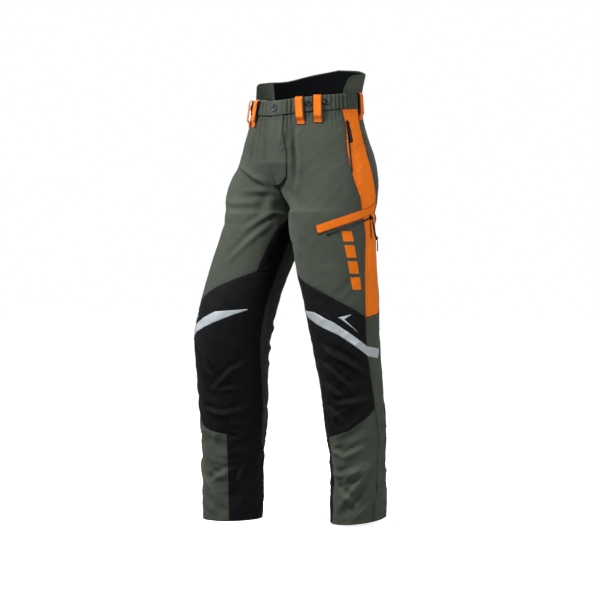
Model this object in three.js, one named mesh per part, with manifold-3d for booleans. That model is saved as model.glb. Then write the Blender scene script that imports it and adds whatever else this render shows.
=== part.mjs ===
// Chainsaw protective trousers, standing as if worn, with the right leg a step ahead of the left.
// Millimetres, +Z up. The front faces -Y and the wearer's left is +X. The hems stand on z = 0.
// Every cloth piece is a patch on one skin, the outer face of the trousers, and has a thickness under or over it.
// A place on the skin is (u, z): z is the height, and u goes once round one side of the trousers,
// from 0 at the front centre or inseam, through 0.5 at the outer side, to 1 at the back centre or inseam.
import * as THREE from "three";
import { mergeVertices } from "three/addons/utils/BufferGeometryUtils.js";
import Module from "manifold-3d";

const wasm = await Module();
wasm.setup();

// ---- Driving dimensions ----
const INSIDE_LEG = 790; // hem to crotch
const RISE = 236; // crotch to the seam under the front waistband
const WAIST_WIDTH = 296;
const HIP_WIDTH = 404;
const THIGH_WIDTH = 193;
const KNEE_WIDTH = 158;
const HEM_WIDTH = 138;
const HEM_DEPTH = 160;
const WAISTBAND_HEIGHT = 38;
const KIDNEY_RISE = 70; // how far the raised back stands above the waistband at the back centre
const LOOP_WIDTH = 20;
const WELT_WIDTH = 21;
const STRIPE_WIDTH = 25;
// Each hem: its mean height over the pattern's zero, and how far it tips down towards the inner front.
const HEMS = {
  left: { level: 29, tip: 8 },
  right: { level: 17, tip: 0 },
};
const HEM_TIP_AT = 0.15; // the lowest place round the hem

// Cloth thicknesses and the depth of each layer below the skin.
const SHELL = 1.2;
const PAD_OUT = -6;
const PAD_IN = -12;
const LINING_OUT = -19;
const LINING_IN = -19.8;
const WAISTBAND_THICKNESS = 2;
const TRIM_OUT = 0.6;
const TRIM_THICKNESS = 0.7;
const GAP = 0.5; // between two sewn panels
const SHELL_STEP = 38; // length of a facet of the cloth
const TRIM_STEP = 18;
const CENTRE_GAP = 0.4; // from a panel's edge to the centre plane
const MEETING_HEIGHT = 730; // above this the two legs come close enough to need that gap

// ---- Heights ----
// Pattern heights are written for an inside leg of 790 and a rise of 236.
const BASE_LEG = 790;
const BASE_RISE = 236;
const worn = (z) =>
  z <= BASE_LEG ? (z * INSIDE_LEG) / BASE_LEG : INSIDE_LEG + ((z - BASE_LEG) * RISE) / BASE_RISE;
const HIP_BLEND = 120; // above the crotch, the height over which the two legs become one seat

// ---- The skin ----
// A table's rows are [height, value, value, ...]. The curve through them is smooth, and level beyond its ends.
function smoothTable(rows) {
  const slope = (i, k) => {
    const before = rows[Math.max(i - 1, 0)];
    const after = rows[Math.min(i + 1, rows.length - 1)];
    return (after[k] - before[k]) / (after[0] - before[0]);
  };
  return (z) => {
    if (z <= rows[0][0]) return rows[0].slice(1);
    const last = rows.length - 1;
    if (z >= rows[last][0]) return rows[last].slice(1);
    const i = rows.findIndex((row) => row[0] > z) - 1;
    const span = rows[i + 1][0] - rows[i][0];
    const t = (z - rows[i][0]) / span;
    const value = (k) =>
      (2 * t ** 3 - 3 * t ** 2 + 1) * rows[i][k] +
      (t ** 3 - 2 * t ** 2 + t) * span * slope(i, k) +
      (3 * t ** 2 - 2 * t ** 3) * rows[i + 1][k] +
      (t ** 3 - t ** 2) * span * slope(i + 1, k);
    return rows[i].slice(1).map((_, k) => value(k + 1));
  };
}

// Leg sections: height, width, depth from front to back.
const legSize = smoothTable([
  [0, HEM_WIDTH, HEM_DEPTH],
  [150, HEM_WIDTH - 8, HEM_DEPTH + 12],
  [310, (HEM_WIDTH + KNEE_WIDTH) / 2 - 5, 198],
  [460, KNEE_WIDTH, 214],
  [550, (KNEE_WIDTH + THIGH_WIDTH) / 2, 216],
  [650, THIGH_WIDTH, 218],
  [770, THIGH_WIDTH + 7, 230],
  [790, THIGH_WIDTH + 9, 231],
]);
// Leg centre lines: height, distance out from the centre plane, y, and how far the toe turns out in degrees.
const CROTCH_Y = -14;
const legPath = {
  left: smoothTable([
    [0, 155, 25, 20],
    [150, 155, 25, 20],
    [310, 149, 15, 20],
    [460, 136, 0, 18],
    [550, 126, -4, 15],
    [650, 114, -10, 9],
    [770, (THIGH_WIDTH + 15) / 2, CROTCH_Y, 1],
    [790, (THIGH_WIDTH + 9) / 2, CROTCH_Y, 0],
  ]),
  right: smoothTable([
    [0, 153, -101, 2],
    [150, 151, -101, 2],
    [310, 148, -104, 3],
    [460, 144, -112, 4],
    [550, 136, -98, 4],
    [650, 124, -66, 3],
    [770, (THIGH_WIDTH + 15) / 2, -20, 0],
    [790, (THIGH_WIDTH + 9) / 2, CROTCH_Y, 0],
  ]),
};
// Body sections: height, half width, depth in front of the middle, depth behind it, y of the middle, squareness.
const bodySize = smoothTable([
  [780, HIP_WIDTH / 2 + 2, 132, 146, -4, 2.3],
  [850, HIP_WIDTH / 2 - 5, 132, 150, 2, 2.3],
  [890, HIP_WIDTH / 2 - 12, 130, 148, 4, 2.25],
  [930, HIP_WIDTH / 2 - 22, 128, 142, 6, 2.2],
  [970, (WAIST_WIDTH + 40) / 2, 126, 132, 6, 2.15],
  [1010, (WAIST_WIDTH + 16) / 2, 122, 120, 8, 2.1],
  [1060, WAIST_WIDTH / 2, 118, 112, 10, 2.1],
  [1090, WAIST_WIDTH / 2 + 1, 118, 112, 10, 2.1],
  [1160, WAIST_WIDTH / 2 + 17, 124, 124, 11, 2.1],
]);

const sideSign = { left: 1, right: -1 };
const signedPower = (value, power) => Math.sign(value) * Math.abs(value) ** power;

function legPoint(side, u, z) {
  const [width, depth] = legSize(Math.min(z, BASE_LEG));
  const [out, middle, toe] = legPath[side](Math.min(z, BASE_LEG));
  const turn = THREE.MathUtils.degToRad(toe);
  const x = (-width / 2) * Math.cos(2 * Math.PI * u);
  const y = (-depth / 2) * Math.sin(2 * Math.PI * u);
  return [out + x * Math.cos(turn) - y * Math.sin(turn), middle + x * Math.sin(turn) + y * Math.cos(turn)];
}

function bodyPoint(u, z) {
  const [halfWidth, front, back, middle, square] = bodySize(z);
  const cos = Math.cos(Math.PI * u);
  const depth = cos > 0 ? front : back;
  return [
    halfWidth * signedPower(Math.sin(Math.PI * u), 2 / square),
    middle - depth * signedPower(cos, 2 / square),
  ];
}

// A point of the trousers' section at pattern height z, before the layer's offset: [out from the centre, y].
function sectionPoint(side, u, z) {
  const share = z <= BASE_LEG ? 1 : 1 - Math.sqrt(Math.min((z - BASE_LEG) / HIP_BLEND, 1));
  if (share === 1) return legPoint(side, u, z);
  const leg = legPoint(side, u, z);
  const body = bodyPoint(u, z);
  return [0, 1].map((k) => share * leg[k] + (1 - share) * body[k]);
}

// The level direction that points out of the cloth.
function outward(side, u, z) {
  const step = 0.002;
  const edge = z > BASE_LEG ? [Math.max(u - step, 0), Math.min(u + step, 1)] : [u - step, u + step];
  const before = sectionPoint(side, edge[0], z);
  const after = sectionPoint(side, edge[1], z);
  const along = [after[0] - before[0], after[1] - before[1]];
  const length = Math.hypot(...along);
  return [along[1] / length, -along[0] / length];
}

// The point at (u, z) of the given side, offset millimetres out from the skin.
// Above the crotch a negative u, or one over 1, reaches across the centre onto the other side.
function skin(side, u, z, offset = 0) {
  const crosses = z > BASE_LEG && (u < 0 || u > 1);
  const own = crosses ? (u < 0 ? -u : 2 - u) : u;
  const [x, y] = sectionPoint(side, own, z);
  const [outX, outY] = outward(side, own, z);
  const sign = sideSign[side] * (crosses ? -1 : 1);
  return new THREE.Vector3(sign * (x + outX * offset), y + outY * offset, worn(z));
}

// ---- Sheets ----
// A closed solid between two faces of one patch. place(a, b, face) gives the point at a and b in 0..1
// on face 0, the inner one, or face 1, the outer one.
function closedSheet(place, columns, rows) {
  const points = [];
  const at = (face, i, j) => face * (columns + 1) * (rows + 1) + j * (columns + 1) + i;
  for (const face of [0, 1])
    for (let j = 0; j <= rows; j++)
      for (let i = 0; i <= columns; i++) points.push(place(i / columns, j / rows, face));
  const triangles = [];
  const quad = (a, b, c, d) => triangles.push(a, b, c, a, c, d);
  for (let j = 0; j < rows; j++)
    for (let i = 0; i < columns; i++) {
      quad(at(1, i, j), at(1, i + 1, j), at(1, i + 1, j + 1), at(1, i, j + 1));
      quad(at(0, i, j), at(0, i, j + 1), at(0, i + 1, j + 1), at(0, i + 1, j));
    }
  for (let i = 0; i < columns; i++) {
    quad(at(0, i, 0), at(0, i + 1, 0), at(1, i + 1, 0), at(1, i, 0));
    quad(at(0, i + 1, rows), at(0, i, rows), at(1, i, rows), at(1, i + 1, rows));
  }
  for (let j = 0; j < rows; j++) {
    quad(at(0, 0, j + 1), at(0, 0, j), at(1, 0, j), at(1, 0, j + 1));
    quad(at(0, columns, j), at(0, columns, j + 1), at(1, columns, j + 1), at(1, columns, j));
  }
  return facingOut(points, triangles);
}

// The geometry with its faces turned so that the solid's volume is positive.
function facingOut(points, triangles) {
  let volume = 0;
  for (let i = 0; i < triangles.length; i += 3) {
    const [a, b, c] = [0, 1, 2].map((k) => points[triangles[i + k]]);
    volume += a.dot(new THREE.Vector3().crossVectors(b, c));
  }
  if (volume < 0)
    for (let i = 0; i < triangles.length; i += 3)
      [triangles[i + 1], triangles[i + 2]] = [triangles[i + 2], triangles[i + 1]];
  const geometry = new THREE.BufferGeometry().setFromPoints(points);
  return geometry.setIndex(triangles);
}

// Seams are lists of [u, z] corners. The distance between two corners, with a usual girth for the u step.
const USUAL_GIRTH = 600;
const apart = (p, q) => Math.hypot((p[0] - q[0]) * USUAL_GIRTH, p[1] - q[1]);
const mix = (p, q, t) => [p[0] + (q[0] - p[0]) * t, p[1] + (q[1] - p[1]) * t];

// A seam cut into equal-ish steps that keep every corner.
function divide(seam, steps) {
  const lengths = seam.slice(1).map((corner, i) => apart(seam[i], corner));
  const total = lengths.reduce((sum, length) => sum + length, 0);
  const shares = lengths.map((length) => Math.max(1, Math.round((steps * length) / total)));
  const spare = () => steps - shares.reduce((sum, share) => sum + share, 0);
  while (spare() !== 0) {
    const per = lengths.map((length, i) => length / (shares[i] + (spare() > 0 ? 0 : -1)));
    const able = per.map((value, i) => (spare() < 0 && shares[i] === 1 ? Infinity : value));
    const pick = spare() > 0 ? per.indexOf(Math.max(...per)) : able.indexOf(Math.min(...able));
    shares[pick] += Math.sign(spare());
  }
  const points = [seam[0]];
  shares.forEach((share, i) => {
    for (let k = 1; k <= share; k++) points.push(mix(seam[i], seam[i + 1], k / share));
  });
  return points;
}

// The part of a seam between two heights. The seam's corners run from low to high.
function between(seam, low, high) {
  const at = (z) => {
    const i = Math.max(1, seam.findIndex((corner) => corner[1] >= z));
    return mix(seam[i - 1], seam[i], (z - seam[i - 1][1]) / (seam[i][1] - seam[i - 1][1]));
  };
  return [at(low), ...seam.filter((corner) => corner[1] > low + 1 && corner[1] < high - 1), at(high)];
}

// A cloth panel inside four seams: bottom and top run from low u to high u, left and right run from low to high.
// It lies from offset inner to offset outer, and stops half a gap short of each seam.
function panel({ side, bottom, top, left, right, step = SHELL_STEP, inner = -SHELL, outer = 0, gap = GAP, crosses = false }) {
  const lengthOf = (seam) => seam.slice(1).reduce((sum, corner, i) => sum + apart(seam[i], corner), 0);
  const wide = Math.max(lengthOf(bottom), lengthOf(top));
  const tall = Math.max(lengthOf(left), lengthOf(right));
  const columns = Math.max(2, Math.round(wide / step), bottom.length - 1, top.length - 1);
  const rows = Math.max(2, Math.round(tall / step), left.length - 1, right.length - 1);
  const [low, high] = [divide(bottom, columns), divide(top, columns)];
  const [near, far] = [divide(left, rows), divide(right, rows)];
  // Half a gap as a share of the way from one point to the next.
  const halfGap = (from, to) => Math.min(gap / 2 / Math.max(apart(from, to), 1), 0.4);
  const flat = (i, j) => {
    const [a, b] = [i / columns, j / rows];
    return [0, 1].map(
      (k) =>
        (1 - b) * low[i][k] +
        b * high[i][k] +
        (1 - a) * near[j][k] +
        a * far[j][k] -
        (1 - a) * (1 - b) * low[0][k] -
        a * (1 - b) * low[columns][k] -
        (1 - a) * b * high[0][k] -
        a * b * high[columns][k],
    );
  };
  const grid = [];
  for (let j = 0; j <= rows; j++) {
    grid.push([]);
    for (let i = 0; i <= columns; i++) grid[j].push(flat(i, j));
  }
  // Each edge point is moved half a gap towards its neighbour inside the panel.
  const tucked = grid.map((row, j) =>
    row.map((point, i) => {
      const inI = i === 0 ? 1 : i === columns ? columns - 1 : i;
      const inJ = j === 0 ? 1 : j === rows ? rows - 1 : j;
      let moved = point;
      if (inI !== i) moved = mix(moved, grid[j][inI], halfGap(point, grid[j][inI]));
      if (inJ !== j) {
        const share = halfGap(point, grid[inJ][i]);
        moved = [0, 1].map((k) => moved[k] + (grid[inJ][i][k] - point[k]) * share);
      }
      return moved;
    }),
  );
  const place = (a, b, face) => {
    const [u, z] = tucked[Math.round(b * rows)][Math.round(a * columns)];
    const wanted = face ? outer : inner;
    const offset = typeof wanted === "function" ? wanted(a, b) : wanted;
    const point = skin(side, u, z, offset);
    const stays = !crosses && u >= 0 && u <= 1 && z > MEETING_HEIGHT;
    if (stays) point.x = sideSign[side] * Math.max(sideSign[side] * point.x, CENTRE_GAP);
    return point;
  };
  return closedSheet(place, columns, rows);
}

// ---- Materials ----
const cloth = (colour, roughness = 0.9) => new THREE.MeshStandardMaterial({ color: colour, roughness, metalness: 0 });
const material = {
  green: () => cloth(0x50574d),
  black: () => cloth(0x1b1c1e),
  orange: () => cloth(0xf37710, 0.8),
  lining: () => cloth(0x101216, 0.95),
  pad: () => cloth(0xd9d6cc, 1),
  reflective: () => new THREE.MeshStandardMaterial({ color: 0xb0bac0, roughness: 0.35, metalness: 0.3 }),
  zip: () => cloth(0x17181a, 0.6),
  metal: () => new THREE.MeshStandardMaterial({ color: 0x222326, roughness: 0.35, metalness: 0.9 }),
  puller: () => new THREE.MeshStandardMaterial({ color: 0x141416, roughness: 0.5, metalness: 0 }),
};

const trousers = new THREE.Group();
trousers.name = "trousers";
function add(name, geometry, surface, parent = trousers) {
  const mesh = new THREE.Mesh(geometry, surface());
  mesh.name = name;
  parent.add(mesh);
  return mesh;
}

// ---- Seams, the same on both legs ----
const frontSeam = [
  [0.39, 0],
  [0.43, 140],
  [0.45, 230],
  [0.44, 306],
  [0.433, 450],
  [0.437, 530],
  [0.467, 658],
  [0.495, 760],
  [0.475, 818],
  [0.43, 870],
  [0.402, 925],
  [0.425, 1000],
  [0.41, 1041],
];
const rearSeam = [
  [0.57, 0],
  [0.56, 540],
  [0.6, 700],
  [0.6, 800],
  [0.565, 860],
  [0.545, 920],
  [0.555, 1046],
];
const GUSSET_TOP = 804; // where the black inner thigh ends, just over the crotch
const insideSeam = [
  [-0.065, 207],
  [-0.055, 330],
  [-0.04, 450],
  [-0.012, 560],
  [-0.006, 642],
  [0, 734],
  [0, 762],
  [0, 775],
  [0, 790],
  [0, GUSSET_TOP],
];
const strapSeam = [
  [0.085, 642],
  [0.083, 670],
  [0.081, 700],
  [0.077, 726],
  [0.069, 750],
  [0.053, 767],
  [0.033, 781],
  [0.015, 793],
  [0.004, GUSSET_TOP],
];
const kneeTop = [
  [0.085, 642],
  [0.23, 602],
  [0.3, 577],
  [0.437, 530],
];
const KICK_FRONT = 0.132; // the kick guard's front seam, and the height of its top
const KICK_FRONT_TOP = 236;
const KICK_BACK = -0.19; // the kick guard's back seam, and the height of its top
const KICK_TOP = 130;
const kneeBottom = [
  [-0.065, 207],
  [0.04, 224],
  [KICK_FRONT, KICK_FRONT_TOP],
  [0.255, 251],
  [0.35, 276],
  [0.44, 306],
];
const waistSeam = [
  [0, 1026],
  [0.41, 1041],
  [0.555, 1046],
  [1, 1052],
];
const SIDE_TIP = 540; // where the orange side panel ends
const FLY_FOOT = 856; // the lower end of the fly opening
const FLY_HALF = 0.012; // half the width of the fly opening, as a u step

const round = (seam) => seam.map(([u, z]) => [u + 1, z]); // the same seam counted from behind

const hemHeight = (side, u) => HEMS[side].level - HEMS[side].tip * Math.cos(2 * Math.PI * (u - HEM_TIP_AT));
const HEM_CORNERS = 5;
// The hem from one place round the leg to another.
function hemLine(side, from, to) {
  const corners = [];
  for (let i = 0; i <= HEM_CORNERS; i++) {
    const u = from + ((to - from) * i) / HEM_CORNERS;
    corners.push([u, hemHeight(side, u)]);
  }
  return corners;
}
// A seam that runs down to the hem, cut off there.
function fromHem(side, seam, high) {
  const foot = hemHeight(side, seam[0][0]);
  return between(seam, foot, high);
}

function waistHeight(u) {
  const i = Math.max(1, waistSeam.findIndex((corner) => corner[0] >= u));
  const [low, high] = [waistSeam[i - 1], waistSeam[i]];
  return low[1] + ((high[1] - low[1]) * (u - low[0])) / (high[0] - low[0]);
}

// ---- Leg panels ----
function legPanels(side) {
  const frontFoot = fromHem(side, frontSeam, 306);
  const rearFoot = fromHem(side, rearSeam, 1046);
  const kickFront = [[KICK_FRONT, hemHeight(side, KICK_FRONT)], [KICK_FRONT, KICK_FRONT_TOP]];
  const kickBack = [[KICK_BACK, hemHeight(side, KICK_BACK)], [KICK_BACK, KICK_TOP]];
  add(
    "front_thigh_" + side,
    panel({
      side,
      bottom: kneeTop,
      top: [[FLY_HALF, 1026], [0.41, 1041]],
      left: [...strapSeam, [0, FLY_FOOT], [FLY_HALF, FLY_FOOT + 24], [FLY_HALF, 1026]],
      right: between(frontSeam, 530, 1041),
    }),
    material.green,
  );
  add(
    "inner_thigh_" + side,
    panel({
      side,
      bottom: [[-0.006, 642], [0.085, 642]],
      top: [[0, GUSSET_TOP], [0.004, GUSSET_TOP]],
      left: between(insideSeam, 642, GUSSET_TOP),
      right: strapSeam,
      step: 22,
    }),
    material.black,
  );
  add(
    "knee_panel_" + side,
    panel({
      side,
      bottom: kneeBottom,
      top: [[-0.006, 642], ...kneeTop],
      left: between(insideSeam, 207, 642),
      right: between(frontSeam, 306, 530),
    }),
    material.black,
  );
  add(
    "shin_panel_" + side,
    panel({
      side,
      bottom: hemLine(side, KICK_FRONT, frontFoot[0][0]),
      top: kneeBottom.slice(2),
      left: kickFront,
      right: frontFoot,
    }),
    material.green,
  );
  add(
    "kick_guard_" + side,
    panel({
      side,
      bottom: hemLine(side, KICK_BACK, KICK_FRONT),
      top: [[KICK_BACK, KICK_TOP], ...kneeBottom.slice(0, 3)],
      left: kickBack,
      right: kickFront,
    }),
    material.black,
  );
  add(
    "side_panel_upper_" + side,
    panel({
      side,
      bottom: [[0.437, 530], [0.56, SIDE_TIP]],
      top: [[0.41, 1041], [0.555, 1046]],
      left: between(frontSeam, 530, 1041),
      right: between(rearSeam, SIDE_TIP, 1046),
    }),
    material.orange,
  );
  add(
    "side_panel_lower_" + side,
    panel({
      side,
      bottom: hemLine(side, frontFoot[0][0], rearFoot[0][0]),
      top: [[0.437, 530], [0.56, SIDE_TIP]],
      left: fromHem(side, frontSeam, 530),
      right: fromHem(side, rearSeam, SIDE_TIP),
    }),
    material.green,
  );
  add(
    "back_leg_" + side,
    panel({
      side,
      bottom: hemLine(side, rearFoot[0][0], 1 + KICK_BACK),
      top: [[0.555, 1046], [1, 1052]],
      left: rearFoot,
      right: [
        ...round(kickBack),
        ...round(between(insideSeam, 207, GUSSET_TOP)),
        [1, 1052],
      ],
    }),
    material.green,
  );
}
for (const side of ["left", "right"]) legPanels(side);

// ---- Inside layers ----
const PAD_LOW = 60;
const PAD_HIGH = 775;
const LINING_LOW = 50;
const LINING_HIGH = 1005;
for (const side of ["left", "right"]) {
  add(
    "cut_pad_" + side,
    panel({
      side,
      bottom: [[0.03, PAD_LOW], [0.47, PAD_LOW]],
      top: [[0.1, PAD_HIGH], [0.4, PAD_HIGH]],
      left: [[0.03, PAD_LOW], [0.03, 700], [0.1, PAD_HIGH]],
      right: [[0.47, PAD_LOW], [0.47, 700], [0.4, PAD_HIGH]],
      step: 40,
      inner: PAD_IN,
      outer: PAD_OUT,
    }),
    material.pad,
  );
  add(
    "leg_lining_" + side,
    panel({
      side,
      bottom: [[0.004, LINING_LOW], [0.996, LINING_LOW]],
      top: [[0.004, LINING_HIGH], [0.996, LINING_HIGH]],
      left: [[0.004, LINING_LOW], [0.004, 790], [0.004, 800], [0.004, 830], [0.004, LINING_HIGH]],
      right: [[0.996, LINING_LOW], [0.996, 790], [0.996, 800], [0.996, 830], [0.996, LINING_HIGH]],
      step: 46,
      inner: LINING_IN,
      outer: LINING_OUT,
    }),
    material.lining,
  );
}

// ---- Waistband and raised back ----
// Both run from the left front, round the back, to the right front: t counts 0..1 on the left and 1..2 on the right.
const TAB_START = -0.035; // the buttoned end reaches past the centre
const BAND_END = 1.995;
const TAB_LIFT = 2.6;
const tabLift = (t) => TAB_LIFT * THREE.MathUtils.clamp((0.09 - t) / 0.05, 0, 1);
const waistAt = (t) => waistHeight(Math.abs(t <= 1 ? t : 2 - t));
const BAND_COLUMNS = 42;
add(
  "waistband",
  closedSheet(
    (a, b, face) => {
      const t = TAB_START + (BAND_END - TAB_START) * a ** 1.15;
      const z = waistAt(t) + GAP + b * (WAISTBAND_HEIGHT - GAP);
      return skin("left", t, z, tabLift(t) + face * WAISTBAND_THICKNESS);
    },
    BAND_COLUMNS,
    2,
  ),
  material.green,
);

const KIDNEY_FRONT = 0.42;
const KIDNEY_COLUMNS = 30;
const kidneyTop = smoothTable([
  [KIDNEY_FRONT, 12],
  [0.45, 38],
  [0.55, 46],
  [0.7, 50],
  [0.85, 63],
  [1, KIDNEY_RISE],
]);
const KIDNEY_LINING_FRONT = 0.6;
function kidneySheet(front, inner, outer, lower) {
  return closedSheet(
    (a, b, face) => {
      const t = front + (2 - 2 * front) * a;
      const u = t <= 1 ? t : 2 - t;
      const rise = kidneyTop(u)[0] - lower;
      return skin("left", t, waistHeight(u) + WAISTBAND_HEIGHT + GAP + b * rise, face ? outer : inner);
    },
    KIDNEY_COLUMNS,
    3,
  );
}
add("kidney_panel", kidneySheet(KIDNEY_FRONT, 0, 1.6, 0), material.green);
add("kidney_lining", kidneySheet(KIDNEY_LINING_FRONT, -2, -0.9, 3), material.lining);

// ---- Small parts by their own frames ----
// A frame standing on the cloth: its x runs across, its y points out and its z is as upright as the cloth lets it be.
function standOn(point, normal) {
  const up = new THREE.Vector3(0, 0, 1).addScaledVector(normal, -normal.z).normalize();
  const across = new THREE.Vector3().crossVectors(normal, up);
  return new THREE.Matrix4().makeBasis(across, normal, up).setPosition(point);
}
function clothFrame(side, u, z, offset) {
  const point = skin(side, u, z, offset);
  const out = skin(side, u, z, offset + 1).sub(point);
  const below = skin(side, u, z - 6, offset);
  const above = skin(side, u, z + 6, offset);
  const up = above.sub(below).normalize();
  const normal = out.addScaledVector(up, -out.dot(up)).normalize();
  return standOn(point, normal);
}
function place(mesh, frame) {
  frame.decompose(mesh.position, mesh.quaternion, mesh.scale);
  return mesh;
}

function solid(geometry) {
  geometry.deleteAttribute("normal");
  geometry.deleteAttribute("uv");
  const merged = mergeVertices(geometry, 1e-4);
  const made = new wasm.Manifold(
    new wasm.Mesh({
      numProp: 3,
      vertProperties: merged.attributes.position.array,
      triVerts: new Uint32Array(merged.index.array),
    }),
  );
  return made;
}
function fromSolid(made) {
  const mesh = made.getMesh();
  const geometry = new THREE.BufferGeometry();
  geometry.setAttribute("position", new THREE.BufferAttribute(mesh.vertProperties, 3));
  return geometry.setIndex(new THREE.BufferAttribute(mesh.triVerts, 1));
}
// A box from one corner to the other, and a round bar along x.
function block(low, high) {
  const size = high.map((value, k) => value - low[k]);
  const centre = high.map((value, k) => (value + low[k]) / 2);
  return solid(new THREE.BoxGeometry(...size).translate(...centre));
}
const bar = (radius, length, y) =>
  solid(new THREE.CylinderGeometry(radius, radius, length, 16).rotateZ(Math.PI / 2).translate(0, y, 0));

// ---- Buttons ----
const BUTTON_SIDES = 20;
function buttonGeometry(radius, height) {
  const profile = [
    [0, 0],
    [radius * 0.8, 0],
    [radius, height * 0.3],
    [radius, height * 0.7],
    [radius * 0.86, height],
    [radius * 0.66, height * 0.75],
    [0, height * 0.7],
  ];
  const turned = new THREE.LatheGeometry(
    profile.map(([x, y]) => new THREE.Vector2(x, y)),
    BUTTON_SIDES,
  );
  return fromSolid(solid(turned));
}
const BUTTON_LEVEL = WAISTBAND_HEIGHT / 2 + 1; // above the waist seam
const WAIST_BUTTON = 9.2;
const BRACE_BUTTON = 7.5;
const bandFace = WAISTBAND_THICKNESS + 0.6;
place(
  add("waist_button", buttonGeometry(WAIST_BUTTON, 3.4), material.metal),
  clothFrame("left", 0.002, 1026 + BUTTON_LEVEL, bandFace + TAB_LIFT),
);
for (const side of ["left", "right"])
  for (const [name, u] of [
    ["front", 0.197],
    ["side", 0.3],
  ])
    place(
      add("brace_button_" + name + "_" + side, buttonGeometry(BRACE_BUTTON, 3), material.metal),
      clothFrame(side, u, waistHeight(u) + BUTTON_LEVEL, bandFace),
    );

// ---- Belt loops ----
// A loop is a flat strip. Its rows are [height above the waist seam, distance of its inner face from the skin].
const LOOP_THICKNESS = 1.6;
const LOOP_ROWS = [
  [-28, 1],
  [-21, 1.6],
  [-12, 7.6],
  [-4, 9.4],
  [WAISTBAND_HEIGHT - 10, 9.4],
  [WAISTBAND_HEIGHT - 3, 8],
  [WAISTBAND_HEIGHT + 2, 3.2],
];
function loopGeometry(side, u) {
  const rows = LOOP_ROWS.length - 1;
  return closedSheet(
    (a, b, face) => {
      const [lift, offset] = LOOP_ROWS[Math.round(b * rows)];
      const point = skin(side, u, waistHeight(u) + lift, offset + face * LOOP_THICKNESS);
      const out = skin(side, u, waistHeight(u) + lift, offset + 1).sub(skin(side, u, waistHeight(u) + lift, offset));
      const across = new THREE.Vector3(-out.y, out.x, 0).normalize();
      return point.addScaledVector(across, (a - 0.5) * LOOP_WIDTH);
    },
    1,
    rows,
  );
}
for (const side of ["left", "right"])
  for (const [name, u] of [
    ["front", 0.15],
    ["middle", 0.25],
    ["rear", 0.57],
  ])
    add("belt_loop_" + name + "_" + side, loopGeometry(side, u), material.orange);
add("belt_loop_back", loopGeometry("left", 1), material.orange);

// ---- Fly ----
const PLACKET_LIFT = 3.4; // room over the zip's slider
const placketInner = (a) => TRIM_OUT + 0.4 + PLACKET_LIFT * Math.sin(Math.PI * a) ** 0.7;
add(
  "fly_placket",
  panel({
    side: "left",
    bottom: [
      [-0.02, FLY_FOOT - 2],
      [0.03, FLY_FOOT + 2],
      [0.066, FLY_FOOT + 18],
    ],
    top: [
      [-0.033, 1025],
      [0.055, 1027],
    ],
    left: [
      [-0.02, FLY_FOOT - 2],
      [-0.033, 1025],
    ],
    right: [
      [0.066, FLY_FOOT + 18],
      [0.07, 916],
      [0.055, 1027],
    ],
    step: 14,
    inner: placketInner,
    outer: (a) => placketInner(a) + SHELL,
    crosses: true,
  }),
  material.green,
);

// ---- Zips ----
// A zip lies along a circle, so its slider turns about that circle's axis. The circle stands upright on the cloth:
// it goes from the start to the end and bends with the skin between them, far enough out to clear it.
const TAPE_THICKNESS = 1;
const RUN_CLEARANCE = 0.4; // between the slider and the tape
const ARC_STEPS = 16;
function circleThrough(start, middle, end) {
  const toMiddle = new THREE.Vector3().subVectors(middle, start);
  const toEnd = new THREE.Vector3().subVectors(end, start);
  const normal = new THREE.Vector3().crossVectors(toMiddle, toEnd);
  return new THREE.Vector3()
    .crossVectors(normal, toMiddle)
    .multiplyScalar(toEnd.lengthSq())
    .add(new THREE.Vector3().crossVectors(toEnd, normal).multiplyScalar(toMiddle.lengthSq()))
    .divideScalar(2 * normal.lengthSq())
    .add(start);
}
function clothNormal(side, u, z) {
  const across = skin(side, u + 0.004, z).sub(skin(side, u - 0.004, z));
  const up = skin(side, u, z + 5).sub(skin(side, u, z - 5));
  const normal = new THREE.Vector3().crossVectors(across, up).normalize();
  const out = skin(side, u, z, 1).sub(skin(side, u, z));
  return normal.multiplyScalar(Math.sign(normal.dot(out)));
}
// Hips wider than usual hollow the cloth under them, and its facets then stand above the skin.
const USUAL_HIP = 404;
const facetRise = Math.max(0, (HIP_WIDTH - USUAL_HIP) * 0.046);
function arcBetween(side, [from, to], offset, width) {
  const start = skin(side, ...from);
  const end = skin(side, ...to);
  const halfway = mix(from, to, 0.5);
  const normal = clothNormal(side, ...halfway);
  const along = new THREE.Vector3().subVectors(end, start);
  const axis = new THREE.Vector3().crossVectors(along, normal).normalize();
  // Seen along the axis, the skin's height over the straight line from start to end.
  const rise = new THREE.Vector3().crossVectors(axis, along).normalize();
  const height = (t, u = 0) => skin(side, mix(from, to, t)[0] + u, mix(from, to, t)[1]).sub(start).dot(rise);
  const middle = start.clone().addScaledVector(along, 0.5).addScaledVector(rise, height(0.5));
  const centre = circleThrough(start, middle, end);
  const level = new THREE.Vector3().subVectors(start, centre);
  const facing = Math.sign(level.dot(rise));
  const angle = -facing * Math.sign(rise.dot(normal)) * level.angleTo(new THREE.Vector3().subVectors(end, centre));
  const toAxis = (point) => {
    const away = point.sub(centre);
    return away.addScaledVector(axis, -away.dot(axis)).length();
  };
  let over = 0;
  for (let i = 0; i <= ARC_STEPS; i++)
    for (const shift of [-1, 0, 1]) {
      const [u, z] = mix(from, to, i / ARC_STEPS);
      const reach = toAxis(skin(side, u + (shift * width) / 2 / USUAL_GIRTH, z)) - level.length();
      over = Math.max(over, facing * reach);
    }
  const radius = level.length() + facing * (offset < 0 ? offset : offset + over + facetRise);
  const direction = (t) => level.clone().normalize().applyAxisAngle(axis, angle * t);
  return { centre, axis, radius, angle, facing, direction };
}

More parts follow.
